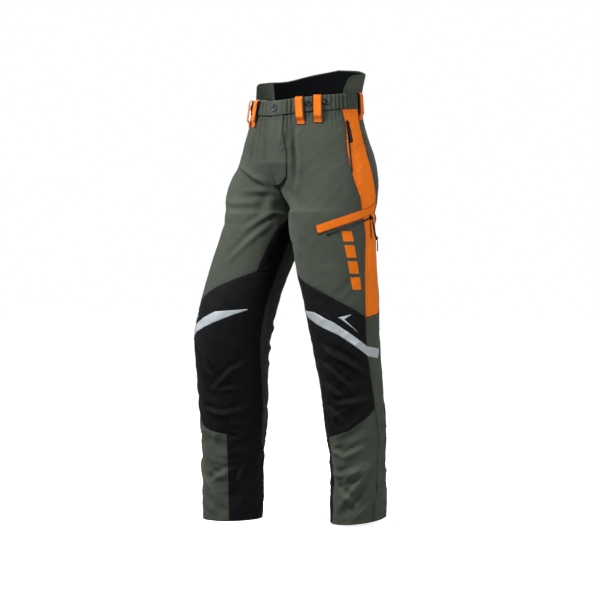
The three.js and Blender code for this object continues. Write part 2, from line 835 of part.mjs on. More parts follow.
function tapeGeometry(arc, width) {
  const rows = Math.max(8, Math.round((arc.radius * Math.abs(arc.angle)) / 16));
  return closedSheet(
    (a, b, face) => {
      const radial = arc.direction(b);
      return arc.centre
        .clone()
        .addScaledVector(radial, arc.radius + arc.facing * face * TAPE_THICKNESS)
        .addScaledVector(arc.axis, (a - 0.5) * width);
    },
    2,
    rows,
  );
}

const PIN_RADIUS = 0.8;
const PIN_CLEARANCE = 0.25;
const PLATE_LOW = TAPE_THICKNESS + RUN_CLEARANCE;
const PLATE_HIGH = PLATE_LOW + 1.5;
const PIN_LEVEL = PLATE_HIGH + 2;
const LUG_IN = 2.4;
const LUG_OUT = 3.8;
function sliderGeometry() {
  let made = block([-4.4, PLATE_LOW, -6], [4.4, PLATE_HIGH, 6]);
  for (const sign of [-1, 1]) {
    const [low, high] = [sign * LUG_IN, sign * LUG_OUT].sort((p, q) => p - q);
    made = made.add(block([low, PLATE_HIGH - 0.3, -2], [high, PIN_LEVEL + 1.2, 2]));
  }
  return fromSolid(made.add(bar(PIN_RADIUS, LUG_IN * 2 + 1, PIN_LEVEL)));
}
function pullGeometry(length) {
  const eye = PIN_RADIUS + PIN_CLEARANCE;
  const half = LUG_IN - 0.5;
  const tab = block([-3.5, PIN_LEVEL - 0.8, -length], [3.5, PIN_LEVEL + 0.8, -5]);
  const neck = block([-half, PIN_LEVEL - 0.8, -6], [half, PIN_LEVEL + 0.8, -0.5]);
  const ring = bar(PIN_RADIUS + 0.95, half * 2, PIN_LEVEL);
  return fromSolid(tab.add(neck).add(ring).subtract(bar(eye, half * 2 + 2, PIN_LEVEL)));
}

// The pocket welt's lower edge, and the places a fixed length under it, where the zip lies.
const WELT_START = [0.3, 732];
const WELT_END = [0.575, 790];
const ZIP_UNDER_WELT = 8.2;
function underWelt(u) {
  const share = (u - WELT_START[0]) / (WELT_END[0] - WELT_START[0]);
  return [u, mix(WELT_START, WELT_END, share)[1] - ((ZIP_UNDER_WELT + facetRise / 4) * BASE_LEG) / INSIDE_LEG];
}
const TAPE_WIDTH = 5; // what shows between the two edges of the cloth
function zip(name, side, ends, pullLength, offset = TRIM_OUT, width = TAPE_WIDTH) {
  const arc = arcBetween(side, ends, offset, width);
  add(name + "_tape", tapeGeometry(arc, width), material.zip);
  const length = arc.radius * Math.abs(arc.angle);
  const end = 9 / length; // the slider stops this share short of the tape's ends
  const radial = arc.direction(end);
  const point = arc.centre.clone().addScaledVector(radial, arc.radius);
  const frame = standOn(point, radial.multiplyScalar(arc.facing));
  const slider = place(add(name + "_slider", sliderGeometry(), material.metal), frame);
  const travel = arc.angle * (1 - 2 * end);
  slider.userData.joint = { centre: arc.centre, axis: arc.axis, degrees: THREE.MathUtils.radToDeg(travel) };
  const pull = place(add(name + "_pull", pullGeometry(pullLength), material.puller), frame);
  pull.userData.joint = {
    centre: new THREE.Vector3(0, PIN_LEVEL, 0).applyMatrix4(frame),
    axis: new THREE.Vector3(1, 0, 0).transformDirection(frame),
    degrees: 130,
  };
}
for (const side of ["left", "right"]) {
  zip("hip_zip_" + side, side, [[0.437, 1014], [0.42, 884]], 52);
  zip("vent_zip_" + side, side, [[0.635, 735], [0.625, 560]], 34);
}
zip("thigh_zip", "left", [underWelt(0.548), underWelt(0.335)], 52);
zip("fly_zip", "left", [[0, 1018], [0, 882]], 22, -5.4, 22);

// ---- Trim ----
const WELT_OUT = 1.3 + facetRise;
add(
  "thigh_welt",
  panel({
    side: "left",
    bottom: [WELT_START, WELT_END],
    top: [
      [0.302, 732 + WELT_WIDTH],
      [0.585, 792 + WELT_WIDTH],
    ],
    left: [WELT_START, [0.302, 732 + WELT_WIDTH]],
    right: [WELT_END, [0.585, 792 + WELT_WIDTH]],
    step: TRIM_STEP,
    inner: WELT_OUT,
    outer: WELT_OUT + 1.5,
  }),
  material.orange,
);
const stripeTop = [
  [0.067, 549],
  [0.2, 543],
  [0.29, 518],
  [0.433, 460],
  [0.525, 452],
];
const stripeBottom = [
  [0.067, 546],
  [0.12, 534],
  [0.21, 543 - STRIPE_WIDTH * 1.3],
  [0.3, 488],
  [0.433, 460 - STRIPE_WIDTH],
  [0.5, 428],
  [0.525, 444],
];
for (const side of ["left", "right"]) {
  const trim = { side, step: TRIM_STEP, inner: TRIM_OUT, outer: TRIM_OUT + TRIM_THICKNESS };
  add(
    "knee_stripe_" + side,
    panel({
      ...trim,
      bottom: stripeBottom,
      top: stripeTop,
      left: [stripeBottom[0], stripeTop[0]],
      right: [stripeBottom.at(-1), stripeTop.at(-1)],
    }),
    material.reflective,
  );
  add(
    "knee_chevron_" + side,
    panel({
      ...trim,
      bottom: [[0.365, 538], [0.31, 531], [0.387, 495]],
      top: [[0.365, 536], [0.336, 526], [0.389, 496]],
      left: [[0.365, 538], [0.365, 536]],
      right: [[0.387, 495], [0.389, 496]],
      step: 12,
    }),
    material.reflective,
  );
}

// The frame's origin is under the middle of the whole part.
trousers.updateMatrixWorld(true);
const box = new THREE.Box3().setFromObject(trousers);
const middle = box.getCenter(new THREE.Vector3());
trousers.position.set(-middle.x, -middle.y, -box.min.z);

const root = new THREE.Group();
root.name = "protective_trousers";
root.add(trousers);
export default root;
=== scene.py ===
"""Chainsaw protective trousers: cloth, trim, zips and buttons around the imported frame.

Lengths are in millimetres up to the last step, which puts every point into the frame in metres.
A place on the cloth is (side, u, z): u runs 0 to 1 from the front centre or the inside of the leg,
round the outer side at 0.5, to the back centre or the inside of the leg again, and z is the height.
"""

import math

import bmesh
import bpy
import numpy as np
from mathutils import Matrix, Vector
from mathutils.geometry import delaunay_2d_cdt


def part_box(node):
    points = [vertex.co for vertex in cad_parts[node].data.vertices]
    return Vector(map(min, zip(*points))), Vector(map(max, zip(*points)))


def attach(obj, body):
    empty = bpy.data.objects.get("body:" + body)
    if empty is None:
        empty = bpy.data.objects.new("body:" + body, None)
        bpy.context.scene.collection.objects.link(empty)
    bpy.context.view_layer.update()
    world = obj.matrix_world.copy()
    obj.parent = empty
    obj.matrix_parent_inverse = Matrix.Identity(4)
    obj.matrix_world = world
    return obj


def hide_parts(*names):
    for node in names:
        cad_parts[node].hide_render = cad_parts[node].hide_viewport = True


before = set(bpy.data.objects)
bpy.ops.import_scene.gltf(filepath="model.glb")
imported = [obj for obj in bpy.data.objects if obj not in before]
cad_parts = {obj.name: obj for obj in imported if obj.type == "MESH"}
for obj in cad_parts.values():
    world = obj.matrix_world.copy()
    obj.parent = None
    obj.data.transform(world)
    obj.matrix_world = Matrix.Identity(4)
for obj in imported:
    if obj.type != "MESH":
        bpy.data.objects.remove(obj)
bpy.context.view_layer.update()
MM = 0.001

# ---- Driving sizes, the same as the frame's ----
HEM_WIDTH = 138
HEM_DEPTH = 160
KNEE_WIDTH = 158
THIGH_WIDTH = 193
HIP_WIDTH = 404
WAIST_WIDTH = 296
CROTCH = 790
HIP_BLEND = 120
CROTCH_Y = -14
WAISTBAND_HEIGHT = 38
WAISTBAND_THICKNESS = 2.0
KIDNEY_RISE = 70
GUSSET_TOP = 804  # where the black inner thigh ends, just over the crotch
HEMS = {"left": (29, 8), "right": (17, 0)}  # middle height of each hem, and how far it tips
HEM_TIP_AT = 0.15  # the lowest place round the hem
LOOP_WIDTH = 20
WELT_WIDTH = 21
SHELL = 1.2
TRIM_OUT = 0.6
USUAL_GIRTH = 600  # turns a difference of u into millimetres on a leg
HALF_WAIST = 470  # and at the waist
SIDES = {"left": 1, "right": -1}

# ---- Detail sizes ----
SHELL_STEP = 4.6  # spacing of the cloth's vertices
TRIM_STEP = 3.2
CHEVRON_STEP = 2.5
SEAM_DIP = 0.9  # how far a seam's edge is pulled in
SEAM_RIM = 2.4  # and over what width
FAR = 900.0  # a distance that no stitch row reaches
CHUNK = 2000  # points measured at a time
TRIANGLE_ROW = 0.866  # spacing of the rows of a grid of even triangles


# ---- The skin: sections of the legs and the body, smooth along the height ----
def smooth_table(rows):
    """A smooth curve through rows of [height, value, ...], level beyond its ends."""
    table = np.array(rows, float)
    at, values = table[:, 0], table[:, 1:]
    last = len(at) - 1
    before = np.maximum(np.arange(last + 1) - 1, 0)
    after = np.minimum(np.arange(last + 1) + 1, last)
    slopes = (values[after] - values[before]) / (at[after] - at[before])[:, None]

    def look_up(z):
        z = np.clip(np.asarray(z, float), at[0], at[-1])
        i = np.clip(np.searchsorted(at, z, side="right") - 1, 0, last - 1)
        span = (at[i + 1] - at[i])[:, None]
        t = ((z - at[i]) / span[:, 0])[:, None]
        return (
            (2 * t**3 - 3 * t**2 + 1) * values[i]
            + (t**3 - 2 * t**2 + t) * span * slopes[i]
            + (3 * t**2 - 2 * t**3) * values[i + 1]
            + (t**3 - t**2) * span * slopes[i + 1]
        ).T

    return look_up


leg_size = smooth_table(
    [
        [0, HEM_WIDTH, HEM_DEPTH],
        [150, HEM_WIDTH - 8, HEM_DEPTH + 12],
        [310, (HEM_WIDTH + KNEE_WIDTH) / 2 - 5, 198],
        [460, KNEE_WIDTH, 214],
        [550, (KNEE_WIDTH + THIGH_WIDTH) / 2, 216],
        [650, THIGH_WIDTH, 218],
        [770, THIGH_WIDTH + 7, 230],
        [CROTCH, THIGH_WIDTH + 9, 231],
    ]
)
# Height, distance out from the centre plane, y, and how far the toe turns out in degrees.
leg_path = {
    "left": smooth_table(
        [
            [0, 155, 25, 20],
            [150, 155, 25, 20],
            [310, 149, 15, 20],
            [460, 136, 0, 18],
            [550, 126, -4, 15],
            [650, 114, -10, 9],
            [770, (THIGH_WIDTH + 15) / 2, CROTCH_Y, 1],
            [CROTCH, (THIGH_WIDTH + 9) / 2, CROTCH_Y, 0],
        ]
    ),
    "right": smooth_table(
        [
            [0, 153, -101, 2],
            [150, 151, -101, 2],
            [310, 148, -104, 3],
            [460, 144, -112, 4],
            [550, 136, -98, 4],
            [650, 124, -66, 3],
            [770, (THIGH_WIDTH + 15) / 2, -20, 0],
            [CROTCH, (THIGH_WIDTH + 9) / 2, CROTCH_Y, 0],
        ]
    ),
}
# Height, half width, depth in front of the middle, depth behind it, y of the middle, squareness.
body_size = smooth_table(
    [
        [780, HIP_WIDTH / 2 + 2, 132, 146, -4, 2.3],
        [850, HIP_WIDTH / 2 - 5, 132, 150, 2, 2.3],
        [890, HIP_WIDTH / 2 - 12, 130, 148, 4, 2.25],
        [930, HIP_WIDTH / 2 - 22, 128, 142, 6, 2.2],
        [970, (WAIST_WIDTH + 40) / 2, 126, 132, 6, 2.15],
        [1010, (WAIST_WIDTH + 16) / 2, 122, 120, 8, 2.1],
        [1060, WAIST_WIDTH / 2, 118, 112, 10, 2.1],
        [1090, WAIST_WIDTH / 2 + 1, 118, 112, 10, 2.1],
        [1160, WAIST_WIDTH / 2 + 17, 124, 124, 11, 2.1],
    ]
)


def signed_power(value, power):
    return np.sign(value) * np.abs(value) ** power


def section(side, u, z):
    """The trousers' section before any layer's offset: distance out from the centre, and y."""
    low = np.minimum(z, CROTCH)
    width, depth = leg_size(low)
    out, middle, toe = leg_path[side](low)
    turn = np.radians(toe)
    x = -width / 2 * np.cos(2 * np.pi * u)
    y = -depth / 2 * np.sin(2 * np.pi * u)
    leg = np.array([out + x * np.cos(turn) - y * np.sin(turn), middle + x * np.sin(turn) + y * np.cos(turn)])
    half, front, back, centre, square = body_size(z)
    cosine = np.cos(np.pi * u)
    reach = np.where(cosine > 0, front, back)
    body = np.array(
        [
            half * signed_power(np.sin(np.pi * u), 2 / square),
            centre - reach * signed_power(cosine, 2 / square),
        ]
    )
    share = 1 - np.sqrt(np.clip((z - CROTCH) / HIP_BLEND, 0, 1))
    return share * leg + (1 - share) * body


def own_place(side, u, z):
    """Above the crotch a u under 0 or over 1 lies on the other side: (sign of x, u there)."""
    crosses = (z > CROTCH) & ((u < 0) | (u > 1))
    own = np.where(crosses, np.where(u < 0, -u, 2 - u), u)
    return SIDES[side] * np.where(crosses, -1, 1), own


def skin(side, u, z):
    """Points of the skin, and the level direction out of it, for arrays of u and z."""
    u, z = np.broadcast_arrays(np.asarray(u, float), np.asarray(z, float))
    u, z = u.ravel(), z.ravel()
    sign, own = own_place(side, u, z)
    step = 0.002
    joined = z > CROTCH
    before = section(side, np.where(joined, np.maximum(own - step, 0), own - step), z)
    after = section(side, np.where(joined, np.minimum(own + step, 1), own + step), z)
    along = after - before
    along /= np.hypot(*along)
    x, y = section(side, own, z)
    points = np.stack([sign * x, y, z], 1)
    out = np.stack([sign * along[1], -along[0], np.zeros(len(z))], 1)
    return points, out


WAIST_PLACES = [0, 0.41, 0.555, 1]  # the front centre, the front and rear seams and the back centre
WAIST_HEIGHTS = [1026, 1041, 1046, 1052]


def waist_height(u):
    """The height of the seam under the waistband."""
    return np.interp(u, WAIST_PLACES, WAIST_HEIGHTS)


def hem_height(side, u):
    """The height of the hem round a leg."""
    level, tip = HEMS[side]
    return level - tip * np.cos(2 * np.pi * (u - HEM_TIP_AT))


def skin_at(side, u, z, offset=0.0):
    """One point of the skin as a vector."""
    points, out = skin(side, [u], [z])
    return Vector(points[0] + out[0] * offset)


# ---- Belt loops: [height above the waist seam, distance of the inner face from the skin] ----
LOOP_ROWS = [[-28, 1], [-21, 1.6], [-12, 7.6], [-4, 9.4], [28, 9.4], [35, 8], [40, 3.2]]
LOOP_THICKNESS = 1.6
LOOP_PLACES = {"front": 0.15, "middle": 0.25, "rear": 0.57}
BRACE_BUTTONS = {"front": 0.197, "side": 0.3}

# The frame's origin is under the middle of the whole part: the back loop says how far that is from here.
_low, _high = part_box("belt_loop_back")
_back, _ = skin("left", 1.0, np.array([float(waist_height(1) + row[0]) for row in LOOP_ROWS]))
_loop_y = max(y + row[1] + LOOP_THICKNESS for y, row in zip(_back[:, 1], LOOP_ROWS))
SHIFT = Vector(
    (
        (_low.x + _high.x) / 2 / MM,
        _high.y / MM - _loop_y,
        _low.z / MM - (float(waist_height(1)) + LOOP_ROWS[0][0]),
    )
)


def to_frame(points):
    return (np.asarray(points) + np.array(SHIFT)) * MM


# ---- Noise ----
def lattice(cell, seed):
    """A fixed random number from -1 to 1 for each whole-numbered cell."""
    mixed = cell[:, 0] * 73856093 ^ cell[:, 1] * 19349663 ^ cell[:, 2] * 83492791 ^ seed * 2654435761
    mixed &= 0xFFFFFFFF
    mixed = (mixed ^ (mixed >> 13)) * 1274126177 & 0xFFFFFFFF
    mixed ^= mixed >> 16
    return mixed / 0x7FFFFFFF - 1


def noise(points, scale, seed):
    """Smooth noise from -1 to 1, with lumps about scale wide. Scale may differ by axis."""
    grid = points / np.asarray(scale, float)
    cell = np.floor(grid).astype(np.int64)
    ease = grid - cell
    ease = ease * ease * (3 - 2 * ease)
    total = np.zeros(len(points))
    for corner in ((i, j, k) for i in (0, 1) for j in (0, 1) for k in (0, 1)):
        weight = np.prod(np.where(np.array(corner) == 1, ease, 1 - ease), axis=1)
        total += weight * lattice(cell + np.array(corner), seed)
    return total


def ramp(value, low, high):
    """0 below low, 1 above high, smooth between them."""
    t = np.clip((value - low) / (high - low), 0, 1)
    return t * t * (3 - 2 * t)


# ---- Lines drawn on the cloth ----
def on_line(points, line):
    """For flat points: distance to a line, signed distance (left of it positive), length along it,
    and whether the nearest place is an end of the line."""
    start, end = line[:-1], line[1:]
    step = end - start
    length = np.maximum(np.hypot(step[:, 0], step[:, 1]), 1e-9)
    run = np.concatenate([[0], np.cumsum(length)[:-1]])
    found = [np.empty(len(points)) for _ in range(4)]
    for first in range(0, len(points), CHUNK):
        away = points[first : first + CHUNK, None] - start
        raw = (away * step).sum(2) / length**2
        t = np.clip(raw, 0, 1)
        gap = away - t[..., None] * step
        reach = np.hypot(gap[..., 0], gap[..., 1])
        best = reach.argmin(1)
        pick = np.arange(len(best)), best
        side = step[best, 0] * gap[pick][:, 1] - step[best, 1] * gap[pick][:, 0]
        ended = ((best == 0) & (raw[pick] < 0)) | ((best == len(length) - 1) & (raw[pick] > 1))
        chunk = slice(first, first + CHUNK)
        found[0][chunk] = reach[pick]
        found[1][chunk] = np.where(side < 0, -reach[pick], reach[pick])
        found[2][chunk] = run[best] + t[pick] * length[best]
        found[3][chunk] = ended
    return found


def flat(line):
    """(u, z) pairs as millimetres on a flat sheet."""
    return np.array(line, float) * [USUAL_GIRTH, 1]


def rounded(corners, step=SHELL_STEP):
    """A smooth line through (u, z) corners, in short steps that keep every corner."""
    points = flat(corners)
    padded = np.vstack([2 * points[0] - points[1], points, 2 * points[-1] - points[-2]])
    pieces = []
    for i in range(len(points) - 1):
        a, b, c, d = padded[i : i + 4]
        lengths = [max(math.sqrt(np.hypot(*(q - p))), 1e-3) for p, q in ((a, b), (b, c), (c, d))]
        t0, t1, t2, t3 = np.concatenate([[0], np.cumsum(lengths)])
        count = max(1, round(float(np.hypot(*(c - b))) / step))
        t = np.linspace(t1, t2, count + 1)[:-1, None]
        first = (t1 - t) / (t1 - t0) * a + (t - t0) / (t1 - t0) * b
        second = (t2 - t) / (t2 - t1) * b + (t - t1) / (t2 - t1) * c
        third = (t3 - t) / (t3 - t2) * c + (t - t2) / (t3 - t2) * d
        low = (t2 - t) / (t2 - t0) * first + (t - t0) / (t2 - t0) * second
        high = (t3 - t) / (t3 - t1) * second + (t - t1) / (t3 - t1) * third
        pieces.append((t2 - t) / (t2 - t1) * low + (t - t1) / (t2 - t1) * high)
    return np.vstack([*pieces, points[-1:]]) / [USUAL_GIRTH, 1]


def straight(corners, step=SHELL_STEP):
    """The same with straight runs between the corners."""
    points = flat(corners)
    pieces = []
    for a, b in zip(points[:-1], points[1:]):
        count = max(1, round(float(np.hypot(*(b - a))) / step))
        pieces.append(a + (b - a) * np.linspace(0, 1, count + 1)[:-1, None])
    return np.vstack([*pieces, points[-1:]]) / [USUAL_GIRTH, 1]


def hem_line(side, low, high):
    """The hem between two places round the leg."""
    places = np.linspace(low, high, max(2, round((high - low) * USUAL_GIRTH / SHELL_STEP)) + 1)
    return np.column_stack([places, hem_height(side, places)])


def from_hem(side, seam, high):
    """The part of a seam between the hem and a height."""
    return cut(seam, float(hem_height(side, seam[0, 0])), high)


def cut(seam, low, high):
    """The part of a seam between two heights."""
    inside = seam[(seam[:, 1] > low + 0.5) & (seam[:, 1] < high - 0.5)]
    ends = [[np.interp(z, seam[:, 1], seam[:, 0]), z] for z in (low, high)]
    return np.vstack([ends[0], inside, ends[1]])


def reaching(seam, low, high):
    """The part of a seam between two places round the leg."""
    inside = seam[(seam[:, 0] > low + 0.001) & (seam[:, 0] < high - 0.001)]
    ends = [[u, np.interp(u, seam[:, 0], seam[:, 1])] for u in (low, high)]
    return np.vstack([ends[0], inside, ends[1]])


# ---- Seams, the same on both legs ----
SIDE_TIP = 540  # where the orange side panel ends, on the rear seam
FRONT_TIP = 530  # and on the front seam
FLY_FOOT = 856
FLY_HALF = 0.012
KICK_FRONT = 0.132
KICK_BACK = -0.19
KICK_TOP = 130
KICK_FRONT_TOP = 236
KNEE_CORNER = [0.085, 642]
KNEE_INSIDE = [-0.006, 642]
KNEE_FOOT = 306  # the knee panel's lowest place on the front seam
INSIDE_FOOT = [-0.065, 207]  # and on the inside of the leg
_, FRONT_SEAM_TOP, REAR_SEAM_TOP, _ = WAIST_PLACES
STRAP_END = [0.004, GUSSET_TOP]
front_seam = rounded(
    [
        *([0.39, 0], [0.43, 140], [0.45, 230], [0.44, KNEE_FOOT], [0.433, 450], [0.437, FRONT_TIP]),
        *([0.467, 658], [0.495, 760], [0.475, 818], [0.43, 870], [0.402, 925], [0.425, 1000]),
        [FRONT_SEAM_TOP, WAIST_HEIGHTS[1]],
    ]
)
rear_seam = rounded(
    [
        *([0.57, 0], [0.56, SIDE_TIP], [0.6, 700], [0.6, 800], [0.565, 860], [0.545, 920]),
        [REAR_SEAM_TOP, WAIST_HEIGHTS[2]],
    ]
)
inside_seam = straight(
    [
        *(INSIDE_FOOT, [-0.055, 330], [-0.04, 450], [-0.012, 560], KNEE_INSIDE),
        *([0, 734], [0, CROTCH], [0, GUSSET_TOP]),
    ]
)
strap_seam = rounded(
    [
        *(KNEE_CORNER, [0.083, 670], [0.081, 700], [0.077, 726], [0.069, 750]),
        *([0.053, 767], [0.033, 781], [0.015, 793], STRAP_END),
    ]
)
knee_top = straight([KNEE_CORNER, [0.23, 602], [0.3, 577], [0.437, FRONT_TIP]])
knee_bottom = rounded(
    [INSIDE_FOOT, [0.04, 224], [KICK_FRONT, KICK_FRONT_TOP], [0.255, 251], [0.35, 276], [0.44, KNEE_FOOT]]
)

# ---- Zips: where each one starts and ends, and how long its pull is ----
ZIPS = {
    "thigh_zip": ("left", [0.548, 776.1], [0.335, 731.2], 52),
    "fly_zip": ("left", [0, 1018], [0, 882], 22),
}
for _side in SIDES:
    ZIPS["hip_zip_" + _side] = (_side, [0.437, 1014], [0.42, 884], 52)
    ZIPS["vent_zip_" + _side] = (_side, [0.635, 735], [0.625, 560], 34)
FLY_OFFSET = -5.4
FLY_TAPE = 22
TAPE_WIDTH = 5  # what shows between the two edges of the cloth
TAPE_THICKNESS = 1.0

# ---- Folds ----
PLEAT_PITCH = 12.5  # spacing of the waistband's pleats
SMOOTH_FRONT = (14, 34)  # the pleats start this far from the front centre, and are full from there on
# Each fold is (side, width, height, [(u, z), ...]): a ridge if the height is over 0, a valley if under 0.
FOLD_STRENGTH = 1.7
BROAD = 30  # a fold wider than this is a plain bulge, with no valley beside it
FOLDS = [
    # hips and fly
    ("right", 9, 5, [(0.28, 920), (0.18, 900), (0.10, 875), (0.02, 856)]),
    ("right", 10, 4.5, [(0.15, 1020), (0.15, 975), (0.145, 925)]),
    ("right", 8, 2.5, [(0.2, 842), (0.1, 844), (0.01, 842)]),
    ("right", 9, 2.8, [(0.33, 817), (0.22, 813), (0.12, 817)]),
    ("right", 55, 8, [(0.33, 760), (0.33, 900)]),
    ("left", 5, -4.5, [(-0.043, 1020), (-0.037, 950), (-0.024, 868)]),
    ("left", 8, 4, [(0.05, 1015), (0.055, 985), (0.05, 950)]),
    ("left", 9, -5.5, [(0.11, 1000), (0.105, 930), (0.115, 860)]),
    ("left", 9, 2.6, [(0.03, 838), (0.12, 812), (0.24, 775)]),
    # front of the thighs, out of the crotch
    ("right", 9, 4, [(0.03, 835), (0.10, 800), (0.20, 745)]),
    ("right", 9, 3.5, [(0.10, 770), (0.15, 730), (0.22, 665)]),
    ("left", 9, 3.5, [(0.10, 785), (0.14, 740), (0.2, 675)]),
    # knees and shins
    ("left", 9, 5, [(0.20, 455), (0.31, 425), (0.42, 385)]),
    ("left", 8, 4.5, [(0.17, 370), (0.26, 335)]),
    ("left", 8, 4, [(0.15, 315), (0.24, 280)]),
    ("left", 11, 6, [(0.42, 195), (0.25, 85), (0.18, 60)]),
    ("left", 9, 4, [(0.37, 178), (0.22, 122)]),
    ("left", 8, 4, [(0.18, 108), (0.28, 80)]),
    ("left", 8, 4, [(0.47, 145), (0.40, 78)]),
    ("left", 7, 3.5, [(0.12, 430), (0.22, 405), (0.33, 352)]),
    ("left", 7, 3.5, [(0.22, 318), (0.32, 322), (0.42, 335)]),
    ("left", 7, 3.5, [(0.14, 205), (0.24, 190), (0.36, 215)]),
    ("left", 7, 3.5, [(0.12, 150), (0.2, 140), (0.32, 158)]),
    ("right", 7, 3, [(0.05, 300), (0.15, 285), (0.27, 300)]),
    ("right", 7, 3, [(0.02, 420), (0.1, 395), (0.2, 340)]),
    ("right", 7, 3, [(0.02, 180), (0.08, 120), (0.05, 70)]),
    ("right", 9, 5, [(0.28, 480), (0.23, 440), (0.17, 400)]),
    ("right", 6, 3, [(0.09, 352), (0.15, 348)]),
    ("right", 9, 4, [(0.42, 190), (0.28, 120), (0.2, 70)]),
    ("right", 8, 3.5, [(0.10, 150), (0.25, 112)]),
    # seat and the backs of the knees
    ("both", 11, 5, [(0.62, 778), (0.76, 760), (0.93, 790)]),
    ("both", 10, 4, [(0.64, 735), (0.78, 722), (0.92, 745)]),
    ("both", 10, 4, [(0.97, 840), (0.86, 870), (0.72, 905)]),
    ("both", 10, 3, [(0.62, 505), (0.75, 488), (0.9, 500)]),
    ("both", 9, 2.6, [(0.64, 455), (0.76, 440), (0.92, 452)]),
    ("both", 9, 2.6, [(0.6, 415), (0.73, 398), (0.88, 410)]),
]


def fold_sum(sign, own, z):
    """The folds' height at each place."""
    total = np.zeros(len(z))
    for side, width, height, line in FOLDS:
        path = flat(line)
        low, high = path.min(0) - 3 * width, path.max(0) + 3 * width
        middle = path[:, 0].mean() / USUAL_GIRTH
        for name, value in SIDES.items():
            if side not in (name, "both"):
                continue
            same = sign == value
            across = np.where(middle < 0.5, -own, 2 - own)
            turned = own - np.round(own - middle) * (z <= CROTCH)
            u = np.where(same, turned, across)
            near = (same | (z > CROTCH)) & (z > low[1]) & (z < high[1])
            near &= (u * USUAL_GIRTH > low[0]) & (u * USUAL_GIRTH < high[0])
            if not near.any():
                continue
            reach, signed, along, _ = on_line(np.stack([u[near] * USUAL_GIRTH, z[near]], 1), path)
            length = np.hypot(*np.diff(path, axis=0).T).sum()
            taper = np.clip(np.sin(np.pi * np.clip(along / length, 0.02, 0.98)), 0, 1) ** 0.6
            ridge = np.exp(-((reach / width) ** 2))
            valley = 0.6 * (width < BROAD) * np.exp(-(((signed - 1.7 * width) / width) ** 2))
            total[near] += FOLD_STRENGTH * height * taper * (ridge - valley * (reach < 3.2 * width))
    return total


def pleat_angle(sign, own, z):
    """Where each place is in the elastic's row of uneven pleats: 0 in a valley and pi on a ridge."""
    spread = own * HALF_WAIST + sign * 3.1
    warp = 4.2 * noise(np.stack([spread, z * 0.12, sign * 40.0], 1), 24, 5)
    return 2 * np.pi * (spread + warp) / PLEAT_PITCH


def gathers(sign, own, z):
    """The elastic's pleats, which run on below the waistband and fade."""
    seam = waist_height(own)
    depth = np.maximum(seam - z, 0)
    front = np.exp(-(((own - 0.09) / 0.05) ** 2))
    strength = 1.0 + 0.9 * front - 0.35 * ramp(own, 0.28, 0.4) + 0.3 * ramp(own, 0.6, 0.8)
    fade = np.exp(-depth / (26 + 30 * front))
    calm = ramp(own * HALF_WAIST, *SMOOTH_FRONT)
    for u in (*LOOP_PLACES.values(), 1.0):
        calm = calm * ramp(np.abs(own - u) * HALF_WAIST, 7, 17)
    return -2.4 * strength * fade * calm * np.cos(pleat_angle(sign, own, z)) * (z < seam + 0.1)


# The directions of the small folds: out of the cloth, across a fold and along it, as columns.
STEEP = np.array([[0.66, 0.53, 0.53], [-0.75, 0.46, 0.46], [0.0, -0.71, 0.71]])
SHALLOW = np.array([[0.66, 0.33, 0.68], [-0.75, 0.29, 0.59], [0.0, -0.9, 0.44]])


def calm_near_zips(side_sign, own, z):
    """0 on a zip and where its pull hangs, 1 well away from them."""
    calm = np.ones(len(z))
    for side, start, end, pull in ZIPS.values():
        same = side_sign == SIDES[side]
        u = np.where(same, own, -own)
        places = np.stack([u * USUAL_GIRTH, z], 1)
        near = (same | (z > CROTCH)) & (np.abs(places[:, 1] - (start[1] + end[1]) / 2) < 150)
        if near.any():
            for line in ([start, end], [start, [start[0], start[1] - pull]], [end, [end[0], end[1] - pull]]):
                reach, _, _, _ = on_line(places[near], flat(line))
                calm[near] = np.minimum(calm[near], ramp(reach, 9, 34))
    return calm


def cloth_height(side, u, z):
    """How far the folds lift the cloth at each place, in millimetres."""
    sign, own = own_place(side, u, z)
    points, _ = skin(side, u, z)
    loose = 0.35 + 0.65 * ramp(1000 - z, 0, 140)
    low_leg = ramp(420 - z, 0, 160)
    broad = 2.0 * noise(points, (62, 62, 120), 1) + 1.0 * noise(points, (30, 30, 52), 2)
    mirrored = np.column_stack([np.abs(points[:, 0]), points[:, 1:]])
    drape = 1 - 2 * np.abs(noise(mirrored @ STEEP, (30, 24, 170), 3))
    creases = 1 - 2 * np.abs(noise(mirrored @ SHALLOW, (22, 17, 130), 7))
    crumple = noise(points, 15, 4) * 0.4
    height = loose * (broad + crumple) + drape * (0.8 + 1.9 * low_leg) + creases * (0.5 + 1.1 * low_leg)
    height += fold_sum(sign, own, z) + gathers(sign, own, z)
    hem = 0.45 + 0.55 * ramp(z - hem_height(side, own), 0, 60)
    top = ramp(waist_height(own) + 4 - z, 0, 14)
    return height * calm_near_zips(sign, own, z) * hem * top


